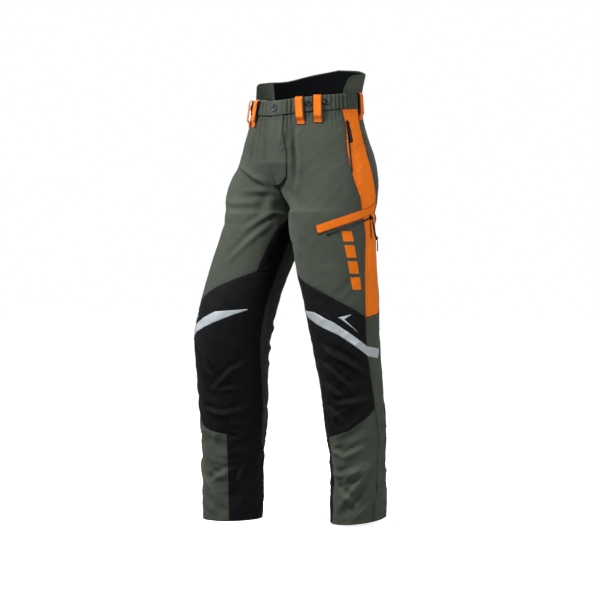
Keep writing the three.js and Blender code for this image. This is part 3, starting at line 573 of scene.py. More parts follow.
# ---- Materials ----
class Shader:
    """A material's nodes, made a line at a time."""

    def __init__(self, name, **settings):
        self.material = bpy.data.materials.new(name)
        self.material.use_nodes = True
        self.tree = self.material.node_tree
        self.surface = self.tree.nodes["Principled BSDF"]
        for socket, value in settings.items():
            self.surface.inputs[socket.replace("_", " ")].default_value = value

    def node(self, kind, inputs=None, **settings):
        made = self.tree.nodes.new(kind)
        for key, value in settings.items():
            setattr(made, key, value)
        for key, value in (inputs or {}).items():
            self.feed(made.inputs[key], value)
        return made

    def feed(self, socket, value):
        if isinstance(value, bpy.types.NodeSocket):
            self.tree.links.new(value, socket)
        else:
            socket.default_value = value

    def math(self, operation, *values):
        made = self.node("ShaderNodeMath", operation=operation)
        for socket, value in zip(made.inputs, values):
            self.feed(socket, value)
        return made.outputs[0]

    def times(self, first, second):
        return self.math("MULTIPLY", first, second)

    def flipped(self, value):
        """1 less the value."""
        return self.math("SUBTRACT", 1.0, value)

    def total(self, *values):
        result = values[0]
        for value in values[1:]:
            result = self.math("ADD", result, value)
        return result

    def step(self, value, low, high):
        """0 below low and 1 above high."""
        made = self.node(
            "ShaderNodeMapRange",
            {"Value": value, "From Min": low, "From Max": high, "To Min": 0.0, "To Max": 1.0},
            interpolation_type="SMOOTHSTEP",
        )
        return made.outputs["Result"]

    def band(self, value, centre, half):
        """1 where value is within half of centre."""
        away = self.math("ABSOLUTE", self.math("SUBTRACT", value, centre))
        return self.flipped(self.step(away, half * 0.7, half * 1.3))

    def mix(self, share, low, high):
        made = self.node("ShaderNodeMix", data_type="RGBA", blend_type="MIX")
        for index, value in ((0, share), (6, low), (7, high)):
            self.feed(made.inputs[index], value)
        return made.outputs[2]

    def three(self, name):
        """The three numbers of a mesh attribute."""
        attribute = self.node("ShaderNodeAttribute", attribute_name=name)
        parts = self.node("ShaderNodeSeparateXYZ", {0: attribute.outputs["Vector"]})
        return [parts.outputs[k] for k in range(3)]

    def grain(self, scale, detail=2.0):
        """Noise from 0 to 1 over the piece, scale lumps to the metre."""
        place = self.node("ShaderNodeTexCoord").outputs["Object"]
        made = self.node("ShaderNodeTexNoise", {"Vector": place, "Scale": scale, "Detail": detail})
        return made.outputs["Fac"]

    def brighten(self, colour, factor):
        """The colour times a factor that may pass 1."""
        if not isinstance(colour, bpy.types.NodeSocket):
            colour = colour[:3]
        scaled = self.node("ShaderNodeVectorMath", {0: colour}, operation="SCALE")
        self.feed(scaled.inputs["Scale"], factor)
        return scaled.outputs[0]

    def bump(self, height, distance, strength=1.0):
        made = self.node("ShaderNodeBump", {"Height": height, "Distance": distance, "Strength": strength})
        self.feed(self.surface.inputs["Normal"], made.outputs["Normal"])

    def paint(self, colour):
        self.feed(self.surface.inputs["Base Color"], colour)


def linear(red, green, blue):
    """A colour given as it looks on a screen, 0 to 255."""
    return (
        *((c / 255 / 12.92 if c < 11 else ((c / 255 + 0.055) / 1.055) ** 2.4) for c in (red, green, blue)),
        1.0,
    )


GREEN = linear(71, 77, 67)
BLACK = linear(11, 12, 14)
ORANGE = linear(248, 122, 8)
LINING_BLACK = linear(7, 8, 10)
NAVY_THREAD = linear(36, 40, 50)
ORANGE_THREAD = linear(196, 72, 14)
BLACK_THREAD = linear(14, 14, 15)
GREY_THREAD = linear(60, 64, 68)
FLEECE = linear(217, 213, 204)
FLEECE_THREAD = linear(170, 166, 158)
TAPE_BLACK = linear(12, 12, 14)
COIL_BLACK = linear(13, 13, 14)
METAL_BLACK = linear(24, 25, 27)
RUBBER_BLACK = linear(10, 10, 11)
LACQUER = linear(38, 40, 47)
SILVER = linear(186, 195, 200)
STITCH = 3.4  # length of a stitch with its gap
ROWS = (2.0, 7.5)  # distances of a seam's two rows of stitches from its edge
HEM_ROW = 13.0


def weave_height(shader, s, z, weave):
    """The relief of the threads, 0 to 1."""
    if weave == "twill":
        return shader.math("SINE", shader.times(shader.total(s, z), 2 * math.pi / 1.5))
    pitch = {"ripstop": 5.0, "plain": 1.4, "knit": 2.2}[weave]
    across = shader.math("SINE", shader.times(s, 2 * math.pi / pitch))
    up = shader.math("SINE", shader.times(z, 2 * math.pi / pitch))
    if weave == "ripstop":
        return shader.math("MAXIMUM", shader.step(across, 0.86, 1.0), shader.step(up, 0.86, 1.0))
    return shader.times(across, up)


CLOTH_GLOSS = {"Roughness": 0.85, "Specular_IOR_Level": 0.25, "Sheen_Weight": 0.07, "Sheen_Roughness": 0.45}


def cloth_material(name, colour, thread, weave, relief, rows=ROWS, print_bars=False, **settings):
    """Woven cloth: threads, heather, fold shading, seam shadow, rows of stitches and light wear at edges."""
    shader = Shader(name, **{**CLOTH_GLOSS, **settings})
    s, z, lift = shader.three("cloth")
    edge, along, above_hem = shader.three("seam")
    marks = shader.three("marks")
    threads = weave_height(shader, s, z, weave)
    heather = shader.grain(900.0, 3.0)
    mottle = shader.grain(26.0, 4.0)
    slub = shader.grain(260.0, 2.0)
    tone_and_painted_shade = shader.total(
        0.70,
        shader.times(heather, 0.22),
        shader.times(slub, 0.14),
        shader.times(mottle, 0.20),
        shader.times(threads, 0.03),
        # painted shade in fold valleys and painted highlight on fold ridges, from the cloth's lift
        shader.times(shader.math("MINIMUM", shader.math("MAXIMUM", lift, -12.0), 7.0), 0.022),
    )
    seam_shadow = shader.flipped(shader.step(edge, 0.2, 1.9))
    tone_and_painted_shade = shader.times(tone_and_painted_shade, shader.flipped(shader.times(seam_shadow, 0.55)))
    worn = shader.times(shader.band(edge, 4.4, 1.8), shader.step(mottle, 0.5, 0.75))
    tone_and_painted_shade = shader.total(tone_and_painted_shade, shader.times(worn, 0.12))
    painted = shader.brighten(colour, tone_and_painted_shade)
    if print_bars:
        painted = shader.mix(printed_bars(shader, s, z), painted, shader.brighten(ORANGE, tone_and_painted_shade))
    stitched = shader.times(shader.band(above_hem, HEM_ROW, 0.55), dashes(shader, s))
    for row in rows:
        line = shader.times(shader.band(edge, row, 0.55), dashes(shader, along))
        stitched = shader.math("MAXIMUM", stitched, line)
    for mark in marks:
        line = shader.times(shader.band(mark, 0.0, 0.6), dashes(shader, shader.total(s, z)))
        stitched = shader.math("MAXIMUM", stitched, line)
    painted = shader.mix(shader.times(stitched, 0.85), painted, thread)
    shader.paint(painted)
    rough = shader.total(shader.surface.inputs["Roughness"].default_value - 0.05, shader.times(mottle, 0.1))
    shader.feed(shader.surface.inputs["Roughness"], rough)
    height = shader.total(
        shader.times(threads, relief),
        shader.times(heather, relief),
        shader.times(slub, relief * 1.5),
        shader.times(stitched, 1.2),
    )
    shader.bump(height, 0.0004, 0.6)
    return shader.material


def dashes(shader, along):
    """1 on a stitch and 0 in the gap after it."""
    part = shader.math("FRACT", shader.math("DIVIDE", along, STITCH))
    return shader.flipped(shader.step(part, 0.68, 0.8))


# Plain bars printed up the left thigh: [from, to] distances round the leg, then [from, to] heights.
BAR_SPAN = [0.392 * USUAL_GIRTH, 0.432 * USUAL_GIRTH]
BAR_HEIGHTS = [[598, 628], [637, 667], [676, 706], [715, 740]]


def between_ends(shader, value, low, high):
    """1 between two numbers, with edges as sharp as a print's."""
    rise = shader.step(value, low - 0.4, low + 0.4)
    return shader.times(rise, shader.flipped(shader.step(value, high - 0.4, high + 0.4)))


def printed_bars(shader, s, z):
    found = 0.0
    for low, high in BAR_HEIGHTS:
        bar = between_ends(shader, z, low, high)
        found = bar if found == 0.0 else shader.math("MAXIMUM", found, bar)
    return shader.times(found, between_ends(shader, s, *BAR_SPAN))


def hard_material(name, colour, grain=0.12, relief=0.15, scale=420.0, **settings):
    """Metal, rubber or moulded plastic: fine grain, rubbed places and a little unevenness in the gloss."""
    shader = Shader(name, **settings)
    fine = shader.grain(scale, 3.0)
    rubbed = shader.grain(scale / 6, 4.0)
    factor = shader.total(1 - grain, shader.times(fine, grain), shader.times(rubbed, grain))
    shader.paint(shader.brighten(colour, factor))
    base = shader.surface.inputs["Roughness"].default_value
    shader.feed(
        shader.surface.inputs["Roughness"],
        shader.total(base - 0.05, shader.times(rubbed, 0.14)),
    )
    shader.bump(fine, 0.0001, relief)
    return shader.material


def reflective_material():
    """Silver reflective film: a fine hatched print, painted shade and painted highlight on its folds, a
    darker rim and stitched edges.
    """
    shader = Shader("reflective_film", Roughness=0.42, Metallic=0.15, Sheen_Weight=0.2)
    s, z, lift = shader.three("cloth")
    edge, along, _ = shader.three("seam")
    hatch = shader.step(shader.math("SINE", shader.times(shader.total(s, z), 2 * math.pi / 3.0)), 0.2, 0.8)
    mottle = shader.grain(60.0, 4.0)
    tone_and_painted_shade = shader.total(0.86, shader.times(hatch, 0.07), shader.times(mottle, 0.16))
    # painted shade in fold valleys and painted highlight on fold ridges
    tone_and_painted_shade = shader.total(tone_and_painted_shade, shader.times(lift, 0.006))
    border = shader.flipped(shader.step(edge, 0.4, 1.3))
    tone_and_painted_shade = shader.times(tone_and_painted_shade, shader.flipped(shader.times(border, 0.3)))
    stitched = shader.times(shader.band(edge, 1.8, 0.4), dashes(shader, along))
    painted = shader.brighten(SILVER, tone_and_painted_shade)
    shader.paint(shader.mix(shader.times(stitched, 0.35), painted, GREY_THREAD))
    shader.bump(shader.total(hatch, shader.times(mottle, 2.0)), 0.00015, 0.4)
    return shader.material


SURFACES = {
    "shell_green": cloth_material("green_twill", GREEN, NAVY_THREAD, "twill", 0.35),
    "printed_green": cloth_material(
        "green_twill_with_bars", GREEN, NAVY_THREAD, "twill", 0.35, print_bars=True
    ),
    "shell_black": cloth_material(
        *("black_ripstop", BLACK, BLACK_THREAD, "ripstop", 0.5),
        Roughness=0.78,
        Sheen_Weight=0.03,
        Specular_IOR_Level=0.16,
    ),
    "shell_orange": cloth_material(
        "orange_twill", ORANGE, ORANGE_THREAD, "twill", 0.3, Roughness=0.7, Sheen_Weight=0.04
    ),
    "orange_webbing": cloth_material(
        *("orange_webbing", ORANGE, ORANGE_THREAD, "plain", 0.6),
        rows=(1.6,),
        Roughness=0.72,
        Sheen_Weight=0.04,
    ),
    "lining": cloth_material(
        *("black_mesh_lining", LINING_BLACK, BLACK_THREAD, "knit", 0.9),
        rows=(6.0,),
        Roughness=0.9,
        Sheen_Weight=0.0,
        Specular_IOR_Level=0.05,
    ),
    "pad": cloth_material(
        "cut_fleece", FLEECE, FLEECE_THREAD, "knit", 1.0, rows=(4.0,), Roughness=0.95
    ),
    "tape": cloth_material(
        "zip_tape", TAPE_BLACK, BLACK_THREAD, "plain", 0.5, rows=(1.5,), Roughness=0.75
    ),
    "reflective": reflective_material(),
    "coil": hard_material("zip_coil", COIL_BLACK, Roughness=0.5),
    "metal": hard_material("black_metal", METAL_BLACK, Roughness=0.36, Metallic=0.7),
    "pull": hard_material(
        *("rubber_pull", RUBBER_BLACK), grain=0.2, relief=0.3, Roughness=0.62, Specular_IOR_Level=0.3
    ),
    "button": hard_material(
        *("button_lacquer", LACQUER),
        Roughness=0.22,
        Metallic=0.5,
        Coat_Weight=0.6,
        Coat_Roughness=0.15,
    ),
    "bartack": hard_material(
        *("bartack_thread", ORANGE_THREAD), grain=0.3, relief=0.6, scale=1500.0, Roughness=0.8
    ),
}


# ---- Building pieces ----
def linked(name, data):
    """A new object in the scene."""
    made = bpy.data.objects.new(name, data)
    bpy.context.scene.collection.objects.link(made)
    return made


def make_piece(name, points, faces, surfaces, smooth=None, layers=None, slots=None):
    """A mesh object from points in millimetres. Layers are three numbers to a vertex, by attribute name."""
    mesh = bpy.data.meshes.new(name)
    mesh.from_pydata(to_frame(points), [], [tuple(map(int, face)) for face in faces])
    for surface in surfaces if isinstance(surfaces, list) else [surfaces]:
        mesh.materials.append(SURFACES[surface])
    flags = np.ones(len(faces), bool) if smooth is None else smooth
    mesh.polygons.foreach_set("use_smooth", flags)
    if slots is not None:
        mesh.polygons.foreach_set("material_index", np.asarray(slots, np.int32))
    for key in ("cloth", "seam", "marks"):
        values = (layers or {}).get(key)
        if values is None:
            values = np.full((len(points), 3), 0.0 if key == "cloth" else FAR)
        attribute = mesh.attributes.new(key, "FLOAT_VECTOR", "POINT")
        attribute.data.foreach_set("vector", np.asarray(values, np.float32).ravel())
    mesh.update()
    return linked(name, mesh)


def settle(piece, body, nodes):
    """The piece rides on a body and stands for CAD nodes, which are hidden."""
    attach(piece, body)
    if nodes:
        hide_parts(*([nodes] if isinstance(nodes, str) else nodes))
    return piece


def inside(points, outline):
    """Which flat points lie inside a closed outline."""
    found = np.zeros(len(points), bool)
    for a, b in zip(outline, np.roll(outline, -1, axis=0)):
        if a[1] == b[1]:
            continue
        crosses = (a[1] > points[:, 1]) != (b[1] > points[:, 1])
        found ^= crosses & (points[:, 0] < a[0] + (points[:, 1] - a[1]) * (b[0] - a[0]) / (b[1] - a[1]))
    return found


def lattice_inside(outline, step):
    """Evenly spaced flat points inside an outline, clear of it, and a row just inside its edge."""
    low, high = outline.min(0), outline.max(0)
    rows = np.arange(low[1] + 0.4 * step, high[1], step * TRIANGLE_ROW)
    columns = np.arange(low[0] - step, high[0] + step, step)
    grid = np.array([(x + (j % 2) * step / 2, z) for j, z in enumerate(rows) for x in columns])
    closed = np.vstack([outline, outline[:1]])
    grid = grid[inside(grid, outline)]
    grid = grid[on_line(grid, closed)[0] > SEAM_RIM + 0.45 * step]
    tangent = np.roll(outline, -1, axis=0) - np.roll(outline, 1, axis=0)
    tangent /= np.maximum(np.hypot(*tangent.T), 1e-9)[:, None]
    rim = outline + np.stack([-tangent[:, 1], tangent[:, 0]], 1) * SEAM_RIM
    rim = rim[inside(rim, outline)]
    rim = rim[on_line(rim, closed)[0] > 0.85 * SEAM_RIM]
    return np.vstack([rim, grid])


def area_of(points, faces):
    a, b, c = (points[faces[:, k]] for k in range(3))
    return float(np.linalg.norm(np.cross(b - a, c - a), axis=1).sum() / 2)


def cloth_piece(
    name, side, edges, surface, outer=0.0, inner=-SHELL, step=SHELL_STEP, marks=(), dip=SEAM_DIP, hemmed=False
):
    """A sheet of cloth inside edges, lines that run anticlockwise. All are sewn, apart from the first of
    a hemmed piece. Outer and inner are its two faces' offsets, each a number or a function of (u, z)."""
    outline = np.vstack([line[:-1] for line in edges]) * [USUAL_GIRTH, 1]
    spots = np.vstack([outline, lattice_inside(outline, step)])
    loop = [list(range(len(outline)))]
    found = delaunay_2d_cdt([Vector(p) for p in spots], [], loop, 1, 1e-5)
    flat_points = np.array([tuple(v) for v in found[0]])
    faces = np.array([face for face in found[2] if len(face) == 3])
    used = np.unique(faces)
    renumber = np.zeros(len(flat_points), int)
    renumber[used] = np.arange(len(used))
    flat_points, faces = flat_points[used], renumber[faces]
    if SIDES[side] < 0:
        faces = faces[:, ::-1]
    u, z = flat_points[:, 0] / USUAL_GIRTH, flat_points[:, 1]
    count = len(u)
    edge = np.full(count, FAR)
    along = np.zeros(count)
    run = 0.0
    for number, line in enumerate(edges):
        path = flat(line)
        if number > 0 or not hemmed:
            reach, _, length, _ = on_line(flat_points, path)
            nearer = reach < edge
            along = np.where(nearer, run + length, along)
            edge = np.where(nearer, reach, edge)
        run += np.hypot(*np.diff(path, axis=0).T).sum()
    signed = np.full((count, 3), FAR)
    for k, mark in enumerate(marks):
        reach, value, _, ended = on_line(flat_points, flat(mark))
        signed[:, k] = np.where(ended > 0, reach + 3, value)
    lift = cloth_height(side, u, z)
    base, out = skin(side, u, z)
    sunk = dip * (1 - ramp(edge, 0, SEAM_RIM))
    high = (outer(u, z) if callable(outer) else outer) + lift - sunk
    low = (inner(u, z) if callable(inner) else inner) + lift - sunk
    points = np.vstack([base + out * high[:, None], base + out * low[:, None]])
    central = (z > CROTCH - 0.01) & ((np.abs(u) < 1e-6) | (np.abs(u - 1) < 1e-6))
    points[np.tile(central, 2), 0] = 0.0  # the two sides meet on the centre plane
    borders = {}
    for a, b, c in faces:
        for p, q in ((a, b), (b, c), (c, a)):
            if (q, p) in borders:
                del borders[q, p]
            else:
                borders[p, q] = True
    walls = [(q, p, p + count, q + count) for p, q in borders]
    skins = [*faces.tolist(), *(faces[:, ::-1] + count).tolist()]
    layers = {
        "cloth": np.tile(np.stack([flat_points[:, 0], z, lift], 1), (2, 1)),
        "seam": np.tile(np.stack([edge, along, z - hem_height(side, u)], 1), (2, 1)),
        "marks": np.tile(signed, (2, 1)),
    }
    smooth = np.array([True] * len(skins) + [False] * len(walls))
    piece = make_piece(name, points, skins + walls, surface, smooth, layers)
    return piece, flat_points, area_of(base, faces)


def grid_faces(rows, columns):
    """Faces of a closed sheet of two grids of (rows + 1) by (columns + 1) points, the outer one first."""
    wide = columns + 1
    count = (rows + 1) * wide
    outer = [
        (j * wide + i, j * wide + i + 1, (j + 1) * wide + i + 1, (j + 1) * wide + i)
        for j in range(rows)
        for i in range(columns)
    ]
    inner = [tuple(k + count for k in face[::-1]) for face in outer]
    ring = list(range(wide))
    ring += [j * wide + columns for j in range(1, rows + 1)]
    ring += [rows * wide + i for i in range(columns - 1, -1, -1)]
    ring += [j * wide for j in range(rows - 1, 0, -1)]
    walls = [(b, a, a + count, b + count) for a, b in zip(ring, ring[1:] + ring[:1])]
    return outer + inner, walls


def grid_piece(name, outer, inner, surface, cloth, seam, rounded_rim=True, slots=None):
    """A sheet from two grids of points, with cloth and seam numbers for each point of a grid."""
    rows, columns = outer.shape[0] - 1, outer.shape[1] - 1
    skins, walls = grid_faces(rows, columns)
    points = np.vstack([outer.reshape(-1, 3), inner.reshape(-1, 3)])
    layers = {"cloth": np.tile(cloth.reshape(-1, 3), (2, 1)), "seam": np.tile(seam.reshape(-1, 3), (2, 1))}
    smooth = np.array([True] * len(skins) + [rounded_rim] * len(walls))
    return make_piece(name, points, skins + walls, surface, smooth, layers, slots)


# ---- Leg panels ----
def waist_line(low, high):
    """The seam under the waistband, between two places round it."""
    bends = [u for u in (FRONT_SEAM_TOP, REAR_SEAM_TOP) if low < u < high]
    return straight([[u, float(waist_height(u))] for u in (low, *bends, high)])


def backwards(line):
    return line[::-1]


def shifted(line):
    """The same line counted from behind."""
    return line + [1, 0]


def sides_of(corners, step):
    """The straight sides of a closed outline."""
    return [straight([a, b], step) for a, b in zip(corners, corners[1:] + corners[:1])]


def put_panel(kind, side, surface, rests_on, edges, **more):
    node = f"{kind}_{side}"
    piece, places, area = cloth_piece("cloth_" + node, side, edges, surface, **more)
    settle(piece, "garment", node)


POCKET_STITCH = [[0.392, 1034], [0.404, 1000], [0.383, 925], [0.409, 866], [0.447, 822]]
POCKET_TACK = [[0.445, 824], [0.474, 818]]
KNEE_STITCH = [[0.075, 546], [0.437, 546]]
FACING_SEAM = [[0.402, 925], [0.47, 948], [0.545, 962]]
SIDE_TACK = [[0.475, 705], [0.515, 712]]
knee_side = straight([KNEE_INSIDE, KNEE_CORNER])
side_tip = straight([[0.437, FRONT_TIP], [0.56, SIDE_TIP]])
fly_edge = straight([[FLY_HALF, 1026.4], [FLY_HALF, FLY_FOOT + 24], [0, FLY_FOOT], STRAP_END])
centre_back = straight([[1, GUSSET_TOP], [1, WAIST_HEIGHTS[3]]])


def leg_panels(side):
    front_foot = from_hem(side, front_seam, KNEE_FOOT)
    rear_foot = from_hem(side, rear_seam, WAIST_HEIGHTS[2])
    kick_front = straight([[KICK_FRONT, float(hem_height(side, KICK_FRONT))], [KICK_FRONT, KICK_FRONT_TOP]])
    kick_back = straight([[KICK_BACK, float(hem_height(side, KICK_BACK))], [KICK_BACK, KICK_TOP]])
    kick_slope = straight([[1 + KICK_BACK, KICK_TOP], [0.935, INSIDE_FOOT[1]]])[1:-1]
    inside_back = np.vstack([shifted(kick_back), kick_slope, shifted(inside_seam), centre_back[1:]])
    thigh, knee = "front_thigh_" + side, "knee_panel_" + side
    thigh_edges = [
        knee_top,
        cut(front_seam, FRONT_TIP, WAIST_HEIGHTS[1]),
        backwards(waist_line(FLY_HALF, FRONT_SEAM_TOP)),
        fly_edge,
        backwards(strap_seam),
    ]
    thigh_marks = [rounded(POCKET_STITCH), straight(POCKET_TACK)]
    printed = "printed_green" if side == "left" else "shell_green"
    put_panel("front_thigh", side, printed, "waistband", thigh_edges, marks=thigh_marks)
    gusset_edges = [
        knee_side,
        strap_seam,
        straight([STRAP_END, [0, GUSSET_TOP]]),
        backwards(cut(inside_seam, KNEE_INSIDE[1], GUSSET_TOP)),
    ]
    put_panel("inner_thigh", side, "shell_black", thigh, gusset_edges)
    knee_edges = [
        knee_bottom,
        cut(front_seam, KNEE_FOOT, FRONT_TIP),
        backwards(knee_top),
        straight([KNEE_CORNER, KNEE_INSIDE]),
        backwards(cut(inside_seam, INSIDE_FOOT[1], KNEE_INSIDE[1])),
    ]
    put_panel("knee_panel", side, "shell_black", thigh, knee_edges, marks=[straight(KNEE_STITCH)])
    shin_edges = [
        hem_line(side, KICK_FRONT, front_foot[0, 0]),
        front_foot,
        backwards(reaching(knee_bottom, KICK_FRONT, 0.44)),
        backwards(kick_front),
    ]
    put_panel("shin_panel", side, "shell_green", knee, shin_edges, hemmed=True)
    kick_edges = [
        hem_line(side, KICK_BACK, KICK_FRONT),
        kick_front,
        backwards(reaching(knee_bottom, INSIDE_FOOT[0], KICK_FRONT)),
        straight([INSIDE_FOOT, [KICK_BACK, KICK_TOP]]),
        backwards(kick_back),
    ]
    put_panel("kick_guard", side, "shell_black", knee, kick_edges, hemmed=True)
    upper_edges = [
        side_tip,
        cut(rear_seam, SIDE_TIP, WAIST_HEIGHTS[2]),
        backwards(waist_line(FRONT_SEAM_TOP, REAR_SEAM_TOP)),
        backwards(cut(front_seam, FRONT_TIP, WAIST_HEIGHTS[1])),
    ]
    side_marks = [straight(FACING_SEAM), straight(SIDE_TACK)]
    put_panel("side_panel_upper", side, "shell_orange", "waistband", upper_edges, marks=side_marks)
    lower_edges = [
        hem_line(side, front_foot[0, 0], rear_foot[0, 0]),
        from_hem(side, rear_seam, SIDE_TIP),
        backwards(side_tip),
        backwards(from_hem(side, front_seam, FRONT_TIP)),
    ]
    put_panel("side_panel_lower", side, "shell_green", "side_panel_upper_" + side, lower_edges, hemmed=True)
    back_edges = [
        hem_line(side, rear_foot[0, 0], 1 + KICK_BACK),
        inside_back,
        backwards(waist_line(REAR_SEAM_TOP, 1.0)),
        backwards(rear_foot),
    ]
    put_panel("back_leg", side, "shell_green", "waistband", back_edges, hemmed=True)


for _side in SIDES:
    leg_panels(_side)


# ---- Inside layers ----
PAD_OUT = -6.0
PAD_IN = -12.0
LINING_OUT = -19.0
PAD_CORNERS = [[0.03, 60], [0.47, 60], [0.47, 700], [0.4, 775], [0.1, 775], [0.03, 700]]
LINING_CORNERS = [[0.004, 50], [0.996, 50], [0.996, 1005], [0.004, 1005]]
PAD_STEP = 9
LINING_STEP = 10
LINING_THICKNESS = 0.8
CHANNEL = 42.0  # spacing of the pad's quilted channels


def quilt(u, z):
    """How far the pad is drawn in along its stitched channels."""
    slanted = (u * USUAL_GIRTH + z, u * USUAL_GIRTH - z)
    lines = np.stack([np.abs((w / CHANNEL) % 1 - 0.5) * CHANNEL for w in slanted])
    return 2.2 * np.exp(-((lines.min(0) / 4.5) ** 2))


def inside_layers(side):
    pad, _, _ = cloth_piece(
        "padding_" + side,
        side,
        sides_of(PAD_CORNERS, PAD_STEP),
        "pad",
        outer=lambda u, z: PAD_OUT - quilt(u, z),
        inner=lambda u, z: PAD_IN + quilt(u, z),
        step=PAD_STEP,
    )
    settle(pad, "garment", "cut_pad_" + side)
    lining, places, area = cloth_piece(
        "mesh_lining_" + side,
        side,
        sides_of(LINING_CORNERS, LINING_STEP),
        "lining",
        outer=LINING_OUT,
        inner=LINING_OUT - LINING_THICKNESS,
        step=LINING_STEP,
    )
    settle(lining, "garment", "leg_lining_" + side)


for _side in SIDES:
    inside_layers(_side)


# ---- Waistband: elastic, gathered into upright pleats ----
TAB_START = -0.035
BAND_END = 1.995
TAB_LIFT = 2.6
BAND_COLUMNS = 820
BAND_ROWS = 16
PLEAT_DEPTH = 5.0


def band_frame(t, z):
    """Skin points and directions for places counted round the whole waist, 0 to 1 left and 1 to 2 right."""
    points, out = skin("left", t, z)
    sign, own = own_place("left", t, z)
    return points, out, sign, own


def pleats(sign, own, z):
    """0 on a ridge and 1 in the valley between two."""
    calm = ramp(own * HALF_WAIST, *SMOOTH_FRONT)
    for u in BRACE_BUTTONS.values():
        calm = calm * (0.35 + 0.65 * ramp(np.abs(own - u) * HALF_WAIST, 5, 12))
    patchy = 0.8 + 0.4 * noise(np.stack([own * HALF_WAIST, z, sign * 9.0], 1), (14, 40, 9), 11)
    return calm * patchy * (0.5 + 0.5 * np.cos(pleat_angle(sign, own, z))) ** 1.6


def waistband():
    a, b = np.meshgrid(np.linspace(0, 1, BAND_COLUMNS + 1), np.linspace(0, 1, BAND_ROWS + 1))
    t = (TAB_START + (BAND_END - TAB_START) * a).ravel()
    b = b.ravel()
    u = np.where(np.abs(t) <= 1, np.abs(t), 2 - t)
    z = waist_height(u) + 0.3 + b * (WAISTBAND_HEIGHT - 0.3)
    points, out, sign, own = band_frame(t, z)
    lift = TAB_LIFT * np.clip((0.09 - t) / 0.05, 0, 1)
    crown = 1 - 0.55 * np.abs(2 * b - 1) ** 6
    valley = pleats(sign, own, z) * PLEAT_DEPTH * (1 - 0.35 * np.abs(2 * b - 1) ** 3)
    face = lift + WAISTBAND_THICKNESS * crown + 1.3 - valley
    back = lift - 0.2 - 0.5 * valley
    shape = (BAND_ROWS + 1, BAND_COLUMNS + 1, 3)
    edge = np.minimum(b * WAISTBAND_HEIGHT, np.where(t < 0.5, (t - TAB_START) * HALF_WAIST, FAR))
    piece = grid_piece(
        "gathered_waistband",
        (points + out * face[:, None]).reshape(shape),
        (points + out * back[:, None]).reshape(shape),
        "shell_green",
        # the lift that the material paints: painted shade in the pleats' valleys, painted highlight on their
        # ridges
        np.stack([t * HALF_WAIST, z, 3 - 4 * valley], 1).reshape(shape),
        np.stack([edge, t * HALF_WAIST, z * 0], 1).reshape(shape),
    )
    settle(piece, "garment", "waistband")


waistband()

# ---- Raised back ----
KIDNEY_FRONT = 0.42
KIDNEY_LINING_FRONT = 0.6
kidney_top = smooth_table(
    [[KIDNEY_FRONT, 12], [0.45, 38], [0.55, 46], [0.7, 50], [0.85, 63], [1, KIDNEY_RISE]]
)


def kidney_sheet(name, node, surface, front, face, back, lower, columns, rows):
    """The raised back or its lining: faces at two offsets, and a top edge that may be lower."""
    a, b = np.meshgrid(np.linspace(0, 1, columns + 1), np.linspace(0, 1, rows + 1))
    t, b = (front + (2 - 2 * front) * a).ravel(), b.ravel()
    u = np.where(t <= 1, t, 2 - t)
    rise = kidney_top(u)[0] - lower
    rise *= 1 - 0.16 * np.exp(-((u - front) * HALF_WAIST / 7) ** 2) * (front == KIDNEY_FRONT)
    z = waist_height(u) + WAISTBAND_HEIGHT + 0.4 + b * rise
    points, out, sign, own = band_frame(t, z)
    sag = 1.6 * noise(points, (55, 55, 40), 21) * b + 0.9 * noise(points, (16, 16, 60), 22) * (1 - 0.5 * b)
    sag -= 0.6 * PLEAT_DEPTH * pleats(sign, own, z) * (1 - ramp(b, 0.0, 0.45))
    edge = np.minimum((1 - b) * rise, (u - front) * HALF_WAIST)
    thin = 0.35 * (1 - ramp(edge, 0, 2.5))
    shape = (rows + 1, columns + 1, 3)
    piece = grid_piece(
        name,
        (points + out * (face + sag - thin)[:, None]).reshape(shape),
        (points + out * (back + sag + thin)[:, None]).reshape(shape),
        surface,
        # twice the sag as the lift that the material paints: painted shade in its dips, painted highlight on
        # its bulges
        np.stack([t * HALF_WAIST, z, sag * 2], 1).reshape(shape),
        np.stack([edge, t * HALF_WAIST, z * 0], 1).reshape(shape),
    )
    settle(piece, "garment", node)


kidney_sheet("raised_back", "kidney_panel", "shell_green", KIDNEY_FRONT, 1.6, 0.0, 0, 300, 22)
kidney_sheet("raised_back_lining", "kidney_lining", "lining", KIDNEY_LINING_FRONT, -0.9, -2.0, 3, 240, 16)


# ---- Fly ----
def placket_offset(u, z):
    share = np.clip((u + 0.033) / 0.103, 0, 1)
    return TRIM_OUT + 0.4 + 3.4 * np.sin(np.pi * share) ** 0.7


_placket, _places, _area = cloth_piece(
    "fly_cover",
    "left",
    [
        rounded([[-0.02, FLY_FOOT - 2], [0.03, FLY_FOOT + 2], [0.066, FLY_FOOT + 18]], 3),
        rounded([[0.066, FLY_FOOT + 18], [0.07, 916], [0.055, 1027]], 3),
        straight([[0.055, 1027], [-0.033, 1025]], 3),
        straight([[-0.033, 1025], [-0.02, FLY_FOOT - 2]], 3),
    ],
    "shell_green",
    outer=lambda u, z: placket_offset(u, z) + SHELL,
    inner=placket_offset,
    step=3.6,
    dip=0.5,
)
settle(_placket, "garment", "fly_placket")

# ---- Pocket welt and reflective trim ----
WELT_START = [0.3, 732]
WELT_END = [0.575, 790]
WELT_OUT = 1.3
WELT_THICKNESS = 1.5
TRIM_THICKNESS = 0.7
_welt, _places, _area = cloth_piece(
    "pocket_welt",
    "left",
    sides_of([WELT_START, WELT_END, [0.585, 792 + WELT_WIDTH], [0.302, 732 + WELT_WIDTH]], TRIM_STEP),
    "orange_webbing",
    outer=WELT_OUT + WELT_THICKNESS,
    inner=WELT_OUT,
    step=TRIM_STEP,
)
settle(_welt, "garment", "thigh_welt")

